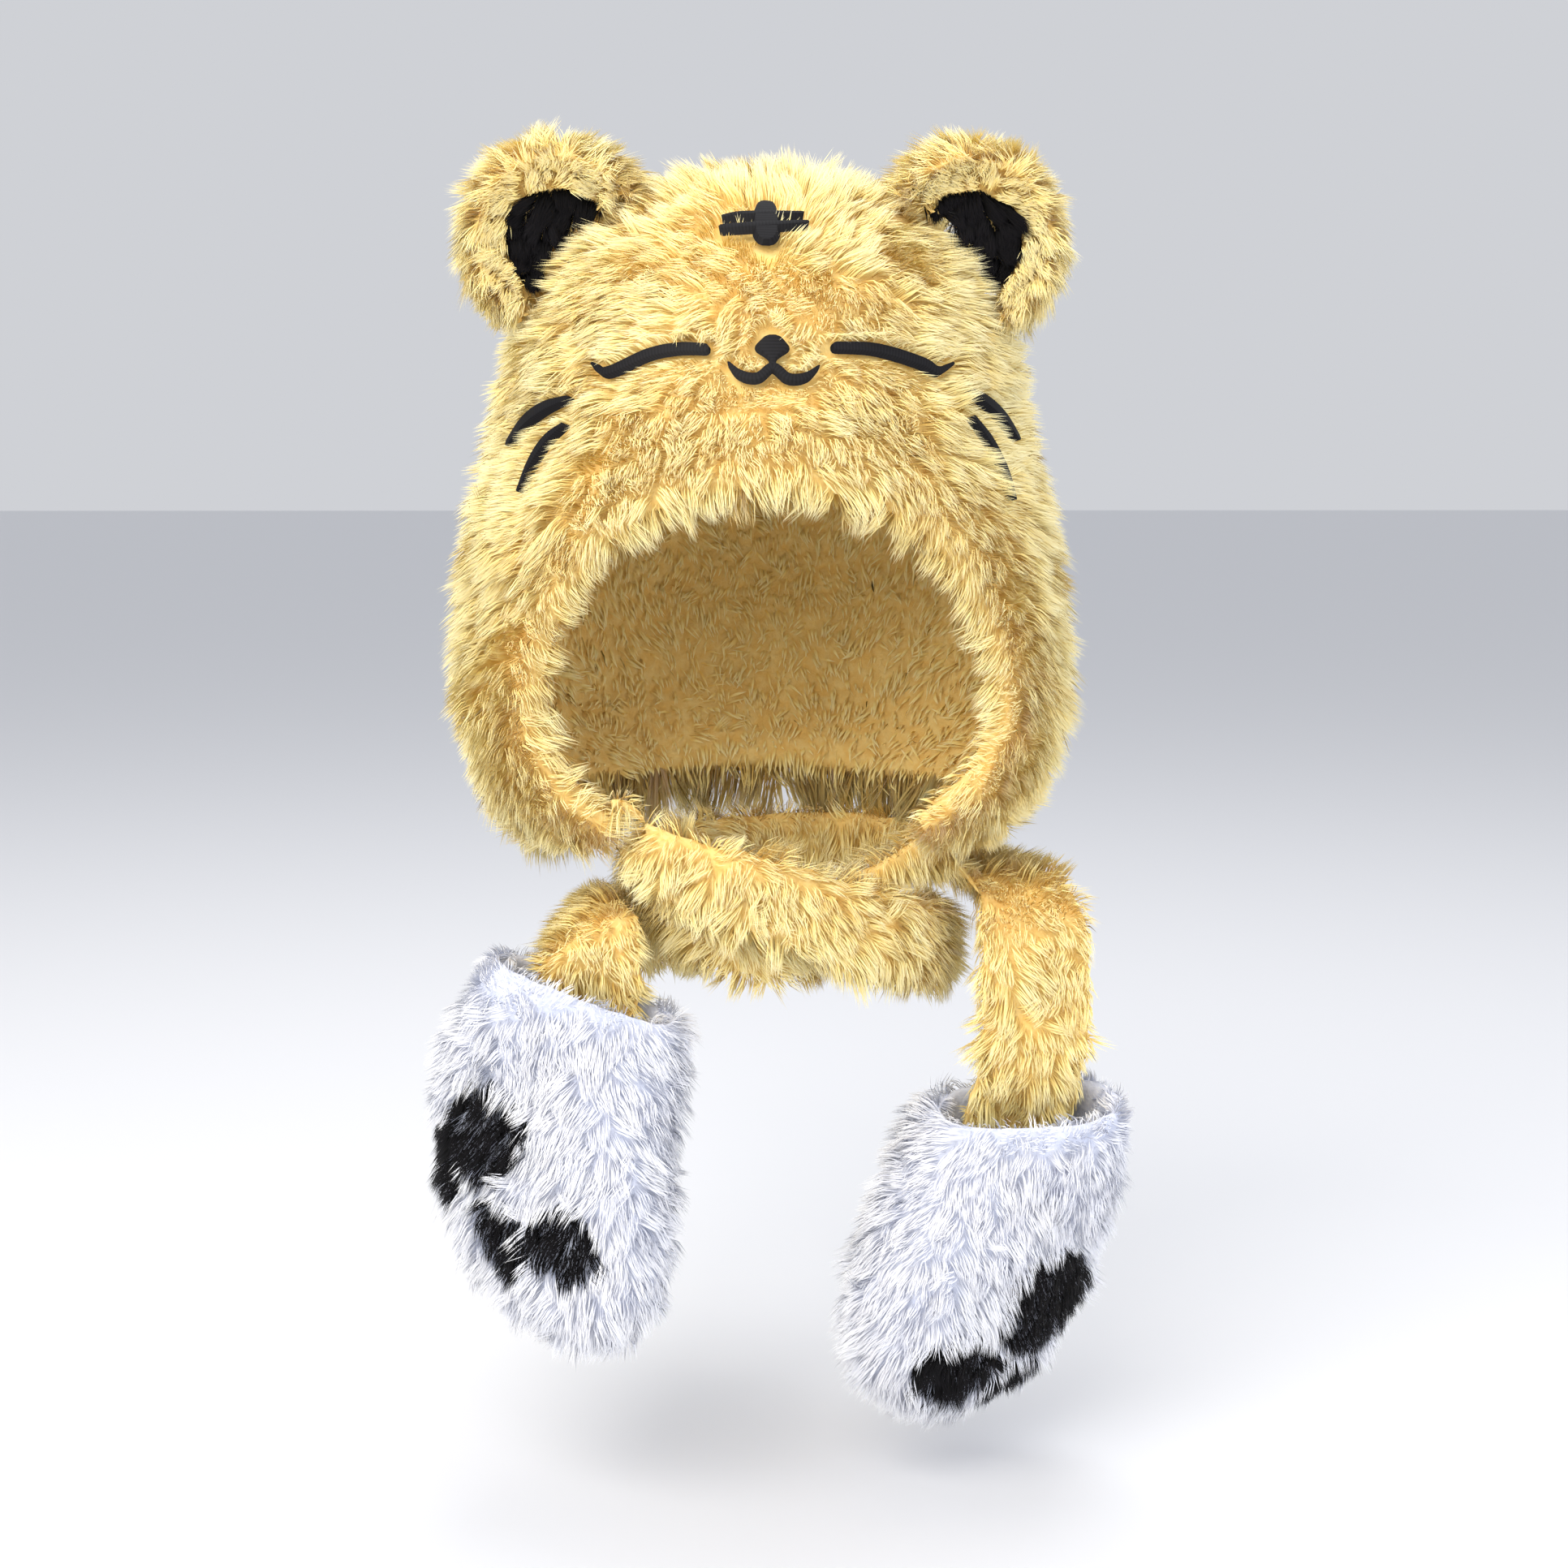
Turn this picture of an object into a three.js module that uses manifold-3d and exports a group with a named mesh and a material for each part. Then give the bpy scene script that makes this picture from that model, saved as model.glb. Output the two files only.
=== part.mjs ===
// An animal hood scarf: a plush hood with two round ears and an embroidered face. Its lower
// corners run on into two scarf bands, which wrap the neck once and end in hollow paw mitts.
// Millimetres, +Z up. The face looks along -Y, and left and right are the viewer's.
// The origin is the inside of the crown, where a head carries the hood.
import * as THREE from 'three';
import Module from 'manifold-3d';

const wasm = await Module();
wasm.setup();

// Clearances and the tufts of the pile.
const SEAT_GAP = 0.4; // between pieces that are sewn together
const TUFT_PITCH = 16; // from a tuft to the dip beside it
const TUFT_RISE = 4; // of a tuft's tip over the middle of the pile
const TUFT_LEAN = 4; // of a tuft's tip along the nap

// The hood.
const HOOD_HEIGHT = 363; // from the crown's outside to the lower edge
const HOOD_HALF_WIDTH = 161;
const HOOD_FRONT = 156; // from the crown to the brim
const HOOD_BACK = 139;
const HOOD_WALL = 20; // plush and lining together
const HOOD_FOOT = HOOD_WALL - HOOD_HEIGHT;
const BRIM_WALL = 28; // at the rolled edge

// The ears, each a stuffed disc with a hollow front.
const EAR_HALF_WIDTH = 52;
const EAR_HALF_HEIGHT = 51;
const EAR_THICKNESS = 40;
const EAR_TILT = 38; // degrees outward from upright
const EAR_TURN = 6; // degrees that an ear faces outward
// An ear's place on the dome, and how far its disc is lifted and moved forward from there.
const EAR_ROOT = { azimuth: 70, polar: 37, lift: 0.06, forward: 0.3 };
const LINING_THICKNESS = 3;

// The embroidery.
const STITCH_WIDTH = 6.4;
const STITCH_RISE = 1.6;

// The scarf bands.
const NECK_RADIUS = 51; // of the space that the neck goes through
const BAND_WIDTH = 76;
const BAND_THICKNESS = 26;

// The mitts.
const MITT_LENGTH = 190;
const MITT_HALF_WIDTH = 73;
const MITT_HALF_DEPTH = 40;
const MITT_WALL = 13;
const MITT_SKEW = 0.33; // how far the mouth's outer side rises over its middle, by width
const PAD_THICKNESS = 3;

// Sections round and along the pieces.
const RING_COUNTS = [6, 12, 24, 36, 48, 72, 96, 120]; // for the hood's rings
const EAR_SIDES = 24;
const BAND_SIDES = 12;
const BAND_SQUARENESS = 2.6; // 2 is an ellipse, and more is squarer
const MITT_SIDES = 20;
const MITT_SQUARENESS = 2.5;
const MITT_TIP = 0.955; // the last ring's share along, next to the fingertips
const MITT_LIP = 0.04; // the first ring's, next to the mouth
const PAD_SIDES = 10;

// Where the mouths of the mitts hang: out from the middle, forward of the crown and below the
// hood's lower edge, how far the fingertips swing aside and back, and the palm's turn away
// from the front, in degrees.
const MITTS = {
  left: { side: -1, out: 91, forward: 88, below: 45, aside: -0.04, back: 0, turn: 45 },
  right: { side: 1, out: 138, forward: 70, below: 113, aside: -0.28, back: 0.2, turn: 37 },
};

// The hood's outer form by the angle from straight up, as shares of the sizes above.
const HOOD_PROFILE = [
  { polar: 0, drop: 0, side: 0, front: 0, back: 0 },
  { polar: 15, drop: 0.012, side: 0.3, front: 0.29, back: 0.35 },
  { polar: 30, drop: 0.06, side: 0.57, front: 0.55, back: 0.67 },
  { polar: 45, drop: 0.165, side: 0.755, front: 0.745, back: 0.87 },
  { polar: 60, drop: 0.287, side: 0.825, front: 0.85, back: 0.96 },
  { polar: 75, drop: 0.394, side: 0.88, front: 0.94, back: 1 },
  { polar: 90, drop: 0.501, side: 0.94, front: 1, back: 1 },
  { polar: 105, drop: 0.617, side: 0.98, front: 1, back: 0.965 },
  { polar: 120, drop: 0.755, side: 1, front: 0.965, back: 0.89 },
  { polar: 135, drop: 0.893, side: 0.9, front: 0.85, back: 0.78 },
  { polar: 150, drop: 0.975, side: 0.68, front: 0.68, back: 0.67 },
  { polar: 165, drop: 1, side: 0.42, front: 0.42, back: 0.5 },
];

// The edge of the hood from the middle of the brim, down the cheek, round the lower corner and
// along the neck to the nape. Azimuth is from the front, polar from straight up, in degrees.
const HOOD_EDGE = [
  { azimuth: 0, polar: 79 },
  { azimuth: 20, polar: 81.5 },
  { azimuth: 36, polar: 90 },
  { azimuth: 46, polar: 102 },
  { azimuth: 52, polar: 114 },
  { azimuth: 52, polar: 125 },
  { azimuth: 44, polar: 134 },
  { azimuth: 37, polar: 141 },
  { azimuth: 50, polar: 147 },
  { azimuth: 75, polar: 146 },
  { azimuth: 105, polar: 143 },
  { azimuth: 142, polar: 137 },
  { azimuth: 180, polar: 134 },
];

// An ear across its thickness, from the middle of the hollow front over the rim to the back.
// Out is a share of the half sizes, deep of the thickness, and tuft is how shaggy it is.
const EAR_PROFILE = [
  { out: 0, deep: -0.14, tuft: 0 },
  { out: 0.34, deep: -0.17, tuft: 0 },
  { out: 0.62, deep: -0.34, tuft: 0 },
  { out: 0.78, deep: -0.48, tuft: 0.7 },
  { out: 0.92, deep: -0.36, tuft: 1 },
  { out: 1, deep: 0, tuft: 1 },
  { out: 0.9, deep: 0.34, tuft: 1 },
  { out: 0.62, deep: 0.48, tuft: 0.8 },
  { out: 0.32, deep: 0.52, tuft: 0.5 },
  { out: 0, deep: 0.53, tuft: 0 },
];

// The black patch in an ear's hollow: its outline as shares of the ear's half sizes, from its
// top over the outer side round to the inner side, by the angle from the ear's own upright.
const LINING_OUTLINE = [
  { turn: 0, reach: 0.7 },
  { turn: 50, reach: 0.66 },
  { turn: 100, reach: 0.58 },
  { turn: 145, reach: 0.54 },
  { turn: 190, reach: 0.52 },
  { turn: 235, reach: 0.7 },
  { turn: 285, reach: 0.7 },
  { turn: 325, reach: 0.68 },
];
const LINING_CENTRE = { out: 0.13, up: -0.22 };

// The scarf bands, section by section. Turn is degrees round the neck from the front towards
// the viewer's right, layer counts band thicknesses out from the neck, drop is band widths
// below the hood's lower edge, and tall and thick are shares of the band's own sizes. The
// outer face looks along facing, in degrees from the front, and is pitched up by pitch.
const LEFT_WRAP = [
  { turn: -24, layer: 1.25, drop: -0.12, tall: 0.66, thick: 1, facing: -22, pitch: 4 },
  { turn: 0, layer: 1.08, drop: 0.04, tall: 0.7, thick: 1.06, facing: 0, pitch: 6 },
  { turn: 22, layer: 1.02, drop: 0.22, tall: 0.74, thick: 1.06, facing: 22, pitch: 6 },
  { turn: 46, layer: 1, drop: 0.38, tall: 0.76, thick: 1, facing: 46, pitch: 4 },
  { turn: 90, layer: 1, drop: 0.57, tall: 0.7, thick: 1, facing: 90, pitch: 0 },
  { turn: 135, layer: 1, drop: 0.68, tall: 0.64, thick: 1, facing: 135, pitch: 0 },
  { turn: 180, layer: 1, drop: 0.73, tall: 0.62, thick: 1, facing: 180, pitch: 0 },
  { turn: 225, layer: 1, drop: 0.68, tall: 0.64, thick: 1, facing: 225, pitch: 0 },
  { turn: 262, layer: 1.05, drop: 0.5, tall: 0.7, thick: 0.94, facing: 264, pitch: 20 },
  { turn: 294, layer: 1.25, drop: 0.34, tall: 0.78, thick: 0.86, facing: 310, pitch: 48 },
  { turn: 312, layer: 1.68, drop: 0.37, tall: 0.84, thick: 0.82, facing: 352, pitch: 28 },
];
const RIGHT_WRAP = [
  { turn: 57, layer: 0.3, drop: 0.1, tall: 0.6, thick: 0.94, facing: 52, pitch: 4 },
  { turn: 34, layer: 0, drop: 0.27, tall: 0.68, thick: 1, facing: 34, pitch: 0 },
  { turn: 10, layer: 0, drop: 0.38, tall: 0.72, thick: 1, facing: 10, pitch: 4 },
  { turn: -14, layer: 0, drop: 0.37, tall: 0.72, thick: 1, facing: -14, pitch: 4 },
  { turn: -40, layer: 0, drop: 0.24, tall: 0.7, thick: 1, facing: -40, pitch: 0 },
  { turn: -90, layer: 0, drop: 0.1, tall: 0.66, thick: 1, facing: -90, pitch: 0 },
  { turn: -135, layer: 0, drop: 0.02, tall: 0.62, thick: 1, facing: -135, pitch: 0 },
  { turn: -178, layer: 0.3, drop: -0.01, tall: 0.6, thick: 1, facing: -180, pitch: 0 },
  { turn: -218, layer: 1.2, drop: -0.01, tall: 0.62, thick: 0.94, facing: -216, pitch: 12 },
  { turn: -248, layer: 1.95, drop: 0.05, tall: 0.7, thick: 0.86, facing: -252, pitch: 48 },
  { turn: -271, layer: 2.2, drop: 0.12, tall: 0.8, thick: 0.82, facing: -300, pitch: 76 },
  { turn: -285, layer: 2.5, drop: 0.1, tall: 0.88, thick: 0.82, facing: -348, pitch: 58 },
  { turn: -293, layer: 2.85, drop: 0.38, tall: 0.96, thick: 0.82, facing: -356, pitch: 14 },
];
// Where a band leaves the hood: the left one runs on from the corner, the right one is sewn
// inside the wall. Sunk is a share of the brim's wall from its outside.
const LEFT_START = { azimuth: -43.5, polar: 139, tall: 0.54, thick: 0.8, sunk: 0.5 };
const RIGHT_START = { azimuth: 72, polar: 139, tall: 0.46, thick: 0.9, sunk: 0.7 };

// The lower ends of the bands, from over a mitt's mouth to the end sewn to the mitt's back
// wall. Below is a share of the mitt's length from its mouth, behind of its half depth.
const STRAP_END = [
  { below: 0, behind: 0.22, tall: 0.94, thick: 0.74 },
  { below: 0.16, behind: 0.4, tall: 0.94, thick: 0.6 },
  { below: 0.28, behind: 0.56, tall: 0.86, thick: 0.46 },
];

// A mitt from its mouth to the fingertips: shares of its length, half width and half depth, of
// its turn, and of its half width that the middle stands out from a straight line.
const MITT_PROFILE = [
  { along: 0, wide: 0.72, deep: 0.88, turn: 0.1, aside: 0 },
  { along: 0.08, wide: 0.74, deep: 0.88, turn: 0.2, aside: 0.06 },
  { along: 0.2, wide: 0.84, deep: 0.92, turn: 0.5, aside: 0.17 },
  { along: 0.35, wide: 0.95, deep: 0.97, turn: 0.85, aside: 0.28 },
  { along: 0.5, wide: 1, deep: 1, turn: 1, aside: 0.32 },
  { along: 0.65, wide: 0.98, deep: 0.99, turn: 1, aside: 0.3 },
  { along: 0.78, wide: 0.88, deep: 0.9, turn: 1, aside: 0.2 },
  { along: 0.89, wide: 0.68, deep: 0.72, turn: 1, aside: 0.1 },
  { along: 0.96, wide: 0.42, deep: 0.46, turn: 1, aside: 0.04 },
  { along: 1, wide: 0, deep: 0, turn: 1, aside: 0 },
];

// The black pads of the paws: places on the palm as shares of the mitt's length and half
// width, and their half sizes as shares of the half width. The right paw's lie lower.
const PADS = {
  left: [
    { name: 'paw_pad_left', along: 0.45, across: 0.15, wide: 0.37, tall: 0.33 },
    { name: 'toe_pad_left_1', along: 0.7, across: -0.56, wide: 0.27, tall: 0.24 },
    { name: 'toe_pad_left_2', along: 0.73, across: 0.05, wide: 0.25, tall: 0.24 },
    { name: 'toe_pad_left_3', along: 0.58, across: 0.68, wide: 0.24, tall: 0.26 },
  ],
  right: [
    { name: 'paw_pad_right', along: 0.58, across: 0.3, wide: 0.4, tall: 0.36 },
    { name: 'toe_pad_right_1', along: 0.79, across: -0.38, wide: 0.36, tall: 0.25 },
    { name: 'toe_pad_right_2', along: 0.86, across: 0.36, wide: 0.22, tall: 0.2 },
    { name: 'toe_pad_right_3', along: 0.71, across: 0.86, wide: 0.1, tall: 0.2 },
  ],
};

const degrees = (value) => (value * Math.PI) / 180;

/** A table's row at a value of its first column, on a smooth curve through the rows. */
function sampled(table, key, value) {
  const last = table.length - 1;
  const held = THREE.MathUtils.clamp(value, table[0][key], table[last][key]);
  let i = 0;
  while (i < last - 1 && table[i + 1][key] < held) {
    i += 1;
  }
  const [from, to] = [table[i], table[i + 1]];
  const span = to[key] - from[key];
  const t = (held - from[key]) / span;
  const row = {};
  for (const name of Object.keys(from)) {
    const step = (to[name] - from[name]) / span;
    const slope = (a, b) => (a && b ? (b[name] - a[name]) / (b[key] - a[key]) : step);
    const start = slope(table[i - 1], to) * span;
    const end = slope(from, table[i + 2]) * span;
    row[name] =
      from[name] * (1 + t * t * (2 * t - 3)) +
      to[name] * t * t * (3 - 2 * t) +
      start * t * (1 - t) * (1 - t) +
      end * t * t * (t - 1);
  }
  return row;
}

/** The unit vector at an azimuth from the front and an angle from straight up, in degrees. */
function heading(azimuth, polar) {
  const [a, p] = [degrees(azimuth), degrees(polar)];
  return new THREE.Vector3(Math.sin(p) * Math.sin(a), -Math.sin(p) * Math.cos(a), Math.cos(p));
}

/** Triangles between two closed rings, whose vertices are numbered from a and from b. */
function stitched(a, countA, b, countB, parity) {
  const triangles = [];
  if (countA === countB) {
    for (let k = 0; k < countA; k += 1) {
      const next = (k + 1) % countA;
      if ((k + parity) % 2 === 0) {
        triangles.push([a + k, a + next, b + k], [a + next, b + next, b + k]);
      } else {
        triangles.push([a + k, a + next, b + next], [a + k, b + next, b + k]);
      }
    }
    return triangles;
  }
  let [i, j] = [0, 0];
  while (i < countA || j < countB) {
    const advanceA = j >= countB || (i < countA && (i + 0.5) / countA <= (j + 0.5) / countB);
    if (advanceA) {
      triangles.push([a + i % countA, a + (i + 1) % countA, b + j % countB]);
      i += 1;
    } else {
      triangles.push([a + i % countA, b + (j + 1) % countB, b + j % countB]);
      j += 1;
    }
  }
  return triangles;
}

/** A closed body through rings of points. Each end closes on the middle of its last ring. */
function ringBody(rings, startTip, endTip) {
  const middle = (ring) => ring.reduce((sum, p) => sum.add(p), new THREE.Vector3())
    .divideScalar(ring.length);
  const points = [startTip ?? middle(rings[0])];
  const triangles = [];
  let first = 1;
  rings.forEach((ring, index) => {
    points.push(...ring);
    const count = ring.length;
    if (index === 0) {
      for (let k = 0; k < count; k += 1) {
        triangles.push([0, 1 + ((k + 1) % count), 1 + k]);
      }
    } else {
      const before = rings[index - 1].length;
      triangles.push(...stitched(first - before, before, first, count, index + 1));
    }
    first += count;
  });
  const count = rings[rings.length - 1].length;
  points.push(endTip ?? middle(rings[rings.length - 1]));
  for (let k = 0; k < count; k += 1) {
    triangles.push([first, first - count + k, first - count + ((k + 1) % count)]);
  }
  return facingOut({ points, triangles });
}

/** The same body with its triangles turned to face out. */
function facingOut({ points, triangles }) {
  const volume = triangles.reduce((sum, [a, b, c]) => {
    const normal = new THREE.Vector3().crossVectors(points[b], points[c]);
    return sum + points[a].dot(normal);
  }, 0);
  const turned = volume > 0 ? triangles : triangles.map(([a, b, c]) => [a, c, b]);
  return { points, triangles: turned };
}

/** The body a little larger all round, to cut a neighbour's seat with. */
function grown({ points, triangles }, gap) {
  const normals = points.map(() => new THREE.Vector3());
  for (const [a, b, c] of triangles) {
    const ab = points[b].clone().sub(points[a]);
    const ac = points[c].clone().sub(points[a]);
    const face = ab.cross(ac);
    [a, b, c].forEach((k) => normals[k].add(face));
  }
  const moved = points.map((p, k) => p.clone().addScaledVector(normals[k].normalize(), gap));
  return { points: moved, triangles };
}

/** A solid that can be cut and joined. */
function solid({ points, triangles }) {
  const vertProperties = new Float32Array(points.flatMap((p) => [p.x, p.y, p.z]));
  const triVerts = new Uint32Array(triangles.flat());
  return new wasm.Manifold(new wasm.Mesh({ numProp: 3, vertProperties, triVerts }));
}

/** The hood's outer surface in a direction, at the middle height of its pile. */
function hoodPoint(direction) {
  const polar = THREE.MathUtils.radToDeg(Math.acos(THREE.MathUtils.clamp(direction.z, -1, 1)));
  const row = sampled(HOOD_PROFILE, 'polar', polar);
  const level = Math.hypot(direction.x, direction.y) || 1;
  const reach = direction.y < 0 ? row.front * HOOD_FRONT : row.back * HOOD_BACK;
  return new THREE.Vector3(
    (direction.x / level) * row.side * HOOD_HALF_WIDTH,
    (direction.y / level) * reach,
    HOOD_WALL - row.drop * HOOD_HEIGHT,
  );
}

/** The outward normal of the hood's outer surface in a direction. */
function hoodNormal(direction) {
  const step = 0.01;
  const across = new THREE.Vector3(direction.y, -direction.x, 0);
  if (across.length() < step) {
    across.set(1, 0, 0);
  }
  across.setLength(step);
  const along = direction.clone().cross(across);
  const shifted = (shift) => hoodPoint(direction.clone().add(shift).normalize());
  const u = shifted(across).sub(shifted(across.clone().negate()));
  const v = shifted(along).sub(shifted(along.clone().negate()));
  const normal = u.cross(v).normalize();
  return normal.dot(direction) < 0 ? normal.negate() : normal;
}

/** A point on the hood at an azimuth and polar angle, raised off its outer surface. */
function onHood(azimuth, polar, raised = 0) {
  const direction = heading(azimuth, polar);
  return hoodPoint(direction).addScaledVector(hoodNormal(direction), raised);
}

// The embroidery: each piece is one or more strokes, and a stroke is a row of places with its
// half width as a share of the stitch width. Azimuth is from the front, polar from straight
// up, in degrees.
const STROKES = {
  eye_left: [[
    { azimuth: -40.5, polar: 58.8, half: 0.16 },
    { azimuth: -36.2, polar: 60.3, half: 0.46 },
    { azimuth: -26.7, polar: 57.5, half: 0.5 },
    { azimuth: -19.6, polar: 56.6, half: 0.52 },
    { azimuth: -13.2, polar: 56.8, half: 0.46 },
  ]],
  eye_right: [[
    { azimuth: 12.6, polar: 56.4, half: 0.46 },
    { azimuth: 22.5, polar: 56.6, half: 0.52 },
    { azimuth: 33.7, polar: 58.6, half: 0.5 },
    { azimuth: 37.8, polar: 60, half: 0.44 },
    { azimuth: 42.8, polar: 58.6, half: 0.16 },
  ]],
  nose_mouth: [
    [
      { azimuth: 0, polar: 54.4, half: 0.9 },
      { azimuth: 0, polar: 55.6, half: 1.35 },
      { azimuth: 0, polar: 57, half: 1.15 },
      { azimuth: 0, polar: 58.4, half: 0.4 },
      { azimuth: 0, polar: 60.4, half: 0.3 },
    ],
    [
      { azimuth: -9.2, polar: 59.2, half: 0.14 },
      { azimuth: -6.6, polar: 61.2, half: 0.38 },
      { azimuth: -3.2, polar: 61.7, half: 0.42 },
      { azimuth: 0, polar: 59.9, half: 0.4 },
      { azimuth: 3.2, polar: 61.8, half: 0.42 },
      { azimuth: 6.6, polar: 61.6, half: 0.38 },
      { azimuth: 9.6, polar: 59.8, half: 0.14 },
    ],
  ],
  forehead_mark: [
    [
      { azimuth: -0.4, polar: 30.6, half: 0.95 },
      { azimuth: -0.8, polar: 32.4, half: 1.1 },
      { azimuth: -0.8, polar: 36.6, half: 1.1 },
      { azimuth: -1, polar: 38.8, half: 0.85 },
    ],
    [
      { azimuth: -13, polar: 34.2, half: 0.18 },
      { azimuth: -7, polar: 33.5, half: 0.24 },
      { azimuth: 9.8, polar: 33.3, half: 0.16 },
    ],
    [
      { azimuth: -13.2, polar: 36.4, half: 0.3 },
      { azimuth: -3, polar: 35.9, half: 0.34 },
      { azimuth: 10.6, polar: 35.3, half: 0.22 },
    ],
  ],
  cheek_stripe_left_upper: [[
    { azimuth: -67.2, polar: 73.6, half: 0.34 },
    { azimuth: -60.7, polar: 69.1, half: 0.56 },
    { azimuth: -53.5, polar: 66.4, half: 0.5 },
    { azimuth: -45.7, polar: 64.9, half: 0.2 },
  ]],
  cheek_stripe_left_lower: [[
    { azimuth: -57, polar: 82.8, half: 0.22 },
    { azimuth: -54.7, polar: 77.1, half: 0.44 },
    { azimuth: -50.9, polar: 72.8, half: 0.46 },
    { azimuth: -45.8, polar: 69.9, half: 0.2 },
  ]],
  cheek_stripe_right_upper: [[
    { azimuth: 46.8, polar: 63.3, half: 0.2 },
    { azimuth: 53, polar: 65.2, half: 0.5 },
    { azimuth: 59.6, polar: 68.2, half: 0.52 },
    { azimuth: 66, polar: 72.4, half: 0.3 },
  ]],
  cheek_stripe_right_lower: [[
    { azimuth: 46.2, polar: 68.3, half: 0.2 },
    { azimuth: 51.2, polar: 73.1, half: 0.46 },
    { azimuth: 54.7, polar: 78.6, half: 0.44 },
    { azimuth: 55.8, polar: 84.4, half: 0.2 },
  ]],
};
const STROKE_STEP = 8; // between the sections of a long stroke
const STITCH_DEPTH = 2.5; // that a stroke is sunk before its seat is cut

/** Evenly spaced rows along a stroke, each with its place on the hood and its half width. */
function strokeRows(stroke) {
  const curve = new THREE.CatmullRomCurve3(
    stroke.map(({ azimuth, polar }) => onHood(azimuth, polar)), false, 'centripetal',
  );
  const key = stroke.map((row, k) => ({ ...row, k }));
  const steps = Math.max(stroke.length - 1, Math.round(curve.getLength() / STROKE_STEP));
  return Array.from({ length: steps + 1 }, (_, n) => {
    const t = curve.getUtoTmapping(n / steps);
    return sampled(key, 'k', t * (stroke.length - 1));
  });
}

/** A stroke's closed body, standing through the hood's surface. */
function strokeBody(stroke) {
  const rows = strokeRows(stroke);
  const middles = rows.map(({ azimuth, polar }) => onHood(azimuth, polar));
  const rings = rows.map(({ azimuth, polar, half }, n) => {
    const normal = hoodNormal(heading(azimuth, polar));
    const before = middles[Math.max(n - 1, 0)];
    const after = middles[Math.min(n + 1, rows.length - 1)];
    const across = after.clone().sub(before).cross(normal).setLength(half * STITCH_WIDTH);
    const corner = (side, raised) => middles[n].clone()
      .addScaledVector(across, side)
      .addScaledVector(normal, raised);
    return [
      corner(-1, -STITCH_DEPTH), corner(1, -STITCH_DEPTH),
      corner(1, STITCH_RISE), corner(-1, STITCH_RISE),
    ];
  });
  return ringBody(rings);
}

// The hood lies flat under the embroidery and grows shaggy a little way off it.
const QUIET_NEAR = 10;
const QUIET_FAR = 26;
const stitchedPlaces = Object.values(STROKES).flat()
  .flatMap(strokeRows)
  .map(({ azimuth, polar }) => onHood(azimuth, polar));

/** How shaggy the hood is at a point, from 0 at the embroidery to 1 away from it. */
function shaggy(point) {
  const near = Math.min(...stitchedPlaces.map((place) => place.distanceTo(point)));
  return THREE.MathUtils.smoothstep(near, QUIET_NEAR, QUIET_FAR);
}

/** A point moved out to a tuft's tip, or in to the dip between tufts. */
function tufted(point, normal, nap, isTip, amount) {
  if (!isTip) {
    return point.clone().addScaledVector(normal, -0.5 * TUFT_RISE * amount);
  }
  return point.clone()
    .addScaledVector(normal, TUFT_RISE * amount)
    .addScaledVector(nap, TUFT_LEAN * amount);
}

// The hood is a cap of rings between a pole on its back and its edge.
const HOOD_POLE = heading(180, 52);
const edgeHalf = HOOD_EDGE.map(({ azimuth, polar }) => heading(azimuth, polar));
const edgeBack = HOOD_EDGE.slice(1, -1).reverse()
  .map(({ azimuth, polar }) => heading(-azimuth, polar));
const edgeCurve = new THREE.CatmullRomCurve3([...edgeHalf, ...edgeBack], true, 'centripetal');

/** The direction a share of the way from the pole towards a place along the edge. */
function capDirection(share, turn) {
  const edge = edgeCurve.getPointAt(turn % 1).normalize();
  const angle = HOOD_POLE.angleTo(edge);
  return HOOD_POLE.clone().multiplyScalar(Math.sin((1 - share) * angle))
    .addScaledVector(edge, Math.sin(share * angle))
    .normalize();
}

/** The count of points for a ring of a certain length, from a few that tufts line up in. */
function ringCount(length, pitch) {
  const off = (count) => Math.abs(Math.log((count * pitch) / length));
  return RING_COUNTS.reduce((best, count) => (off(count) < off(best) ? count : best));
}

/** A ring of the hood's cap: for each point its surface point, normal, nap and wall. */
function capRing(share, pitch) {
  const samples = Array.from({ length: 48 }, (_, k) => hoodPoint(capDirection(share, k / 48)));
  const length = samples.reduce((sum, p, k) => sum + p.distanceTo(samples[(k + 1) % 48]), 0);
  const count = ringCount(length, pitch);
  return Array.from({ length: count }, (_, k) => {
    const direction = capDirection(share, k / count);
    const point = hoodPoint(direction);
    const before = hoodPoint(capDirection(share - 0.02, k / count));
    const normal = hoodNormal(direction);
    const nap = point.clone().sub(before).normalize();
    const rolled = THREE.MathUtils.smoothstep(share, 0.82, 1);
    const wall = THREE.MathUtils.lerp(HOOD_WALL, BRIM_WALL, rolled);
    return { point, normal, nap, wall };
  });
}

/** The rings of the hood's shaggy outside, from near the pole to the edge. */
function hoodOutside() {
  const reach = hoodPoint(HOOD_POLE).distanceTo(hoodPoint(capDirection(1, 0)));
  const outerRings = Math.round((1.25 * reach) / TUFT_PITCH);
  return Array.from({ length: outerRings }, (_, n) => (
    capRing((n + 1) / outerRings, TUFT_PITCH).map(({ point, normal, nap }, k) => (
      tufted(point, normal, nap, (n + 1 + k) % 2 === 0, n > 0 ? shaggy(point) : 0)
    ))
  ));
}

/** The hood's outside filled up, for what sits on it. */
function domeBody() {
  return ringBody(hoodOutside(), hoodPoint(HOOD_POLE), new THREE.Vector3(0, 0, HOOD_FOOT / 2));
}

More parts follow.
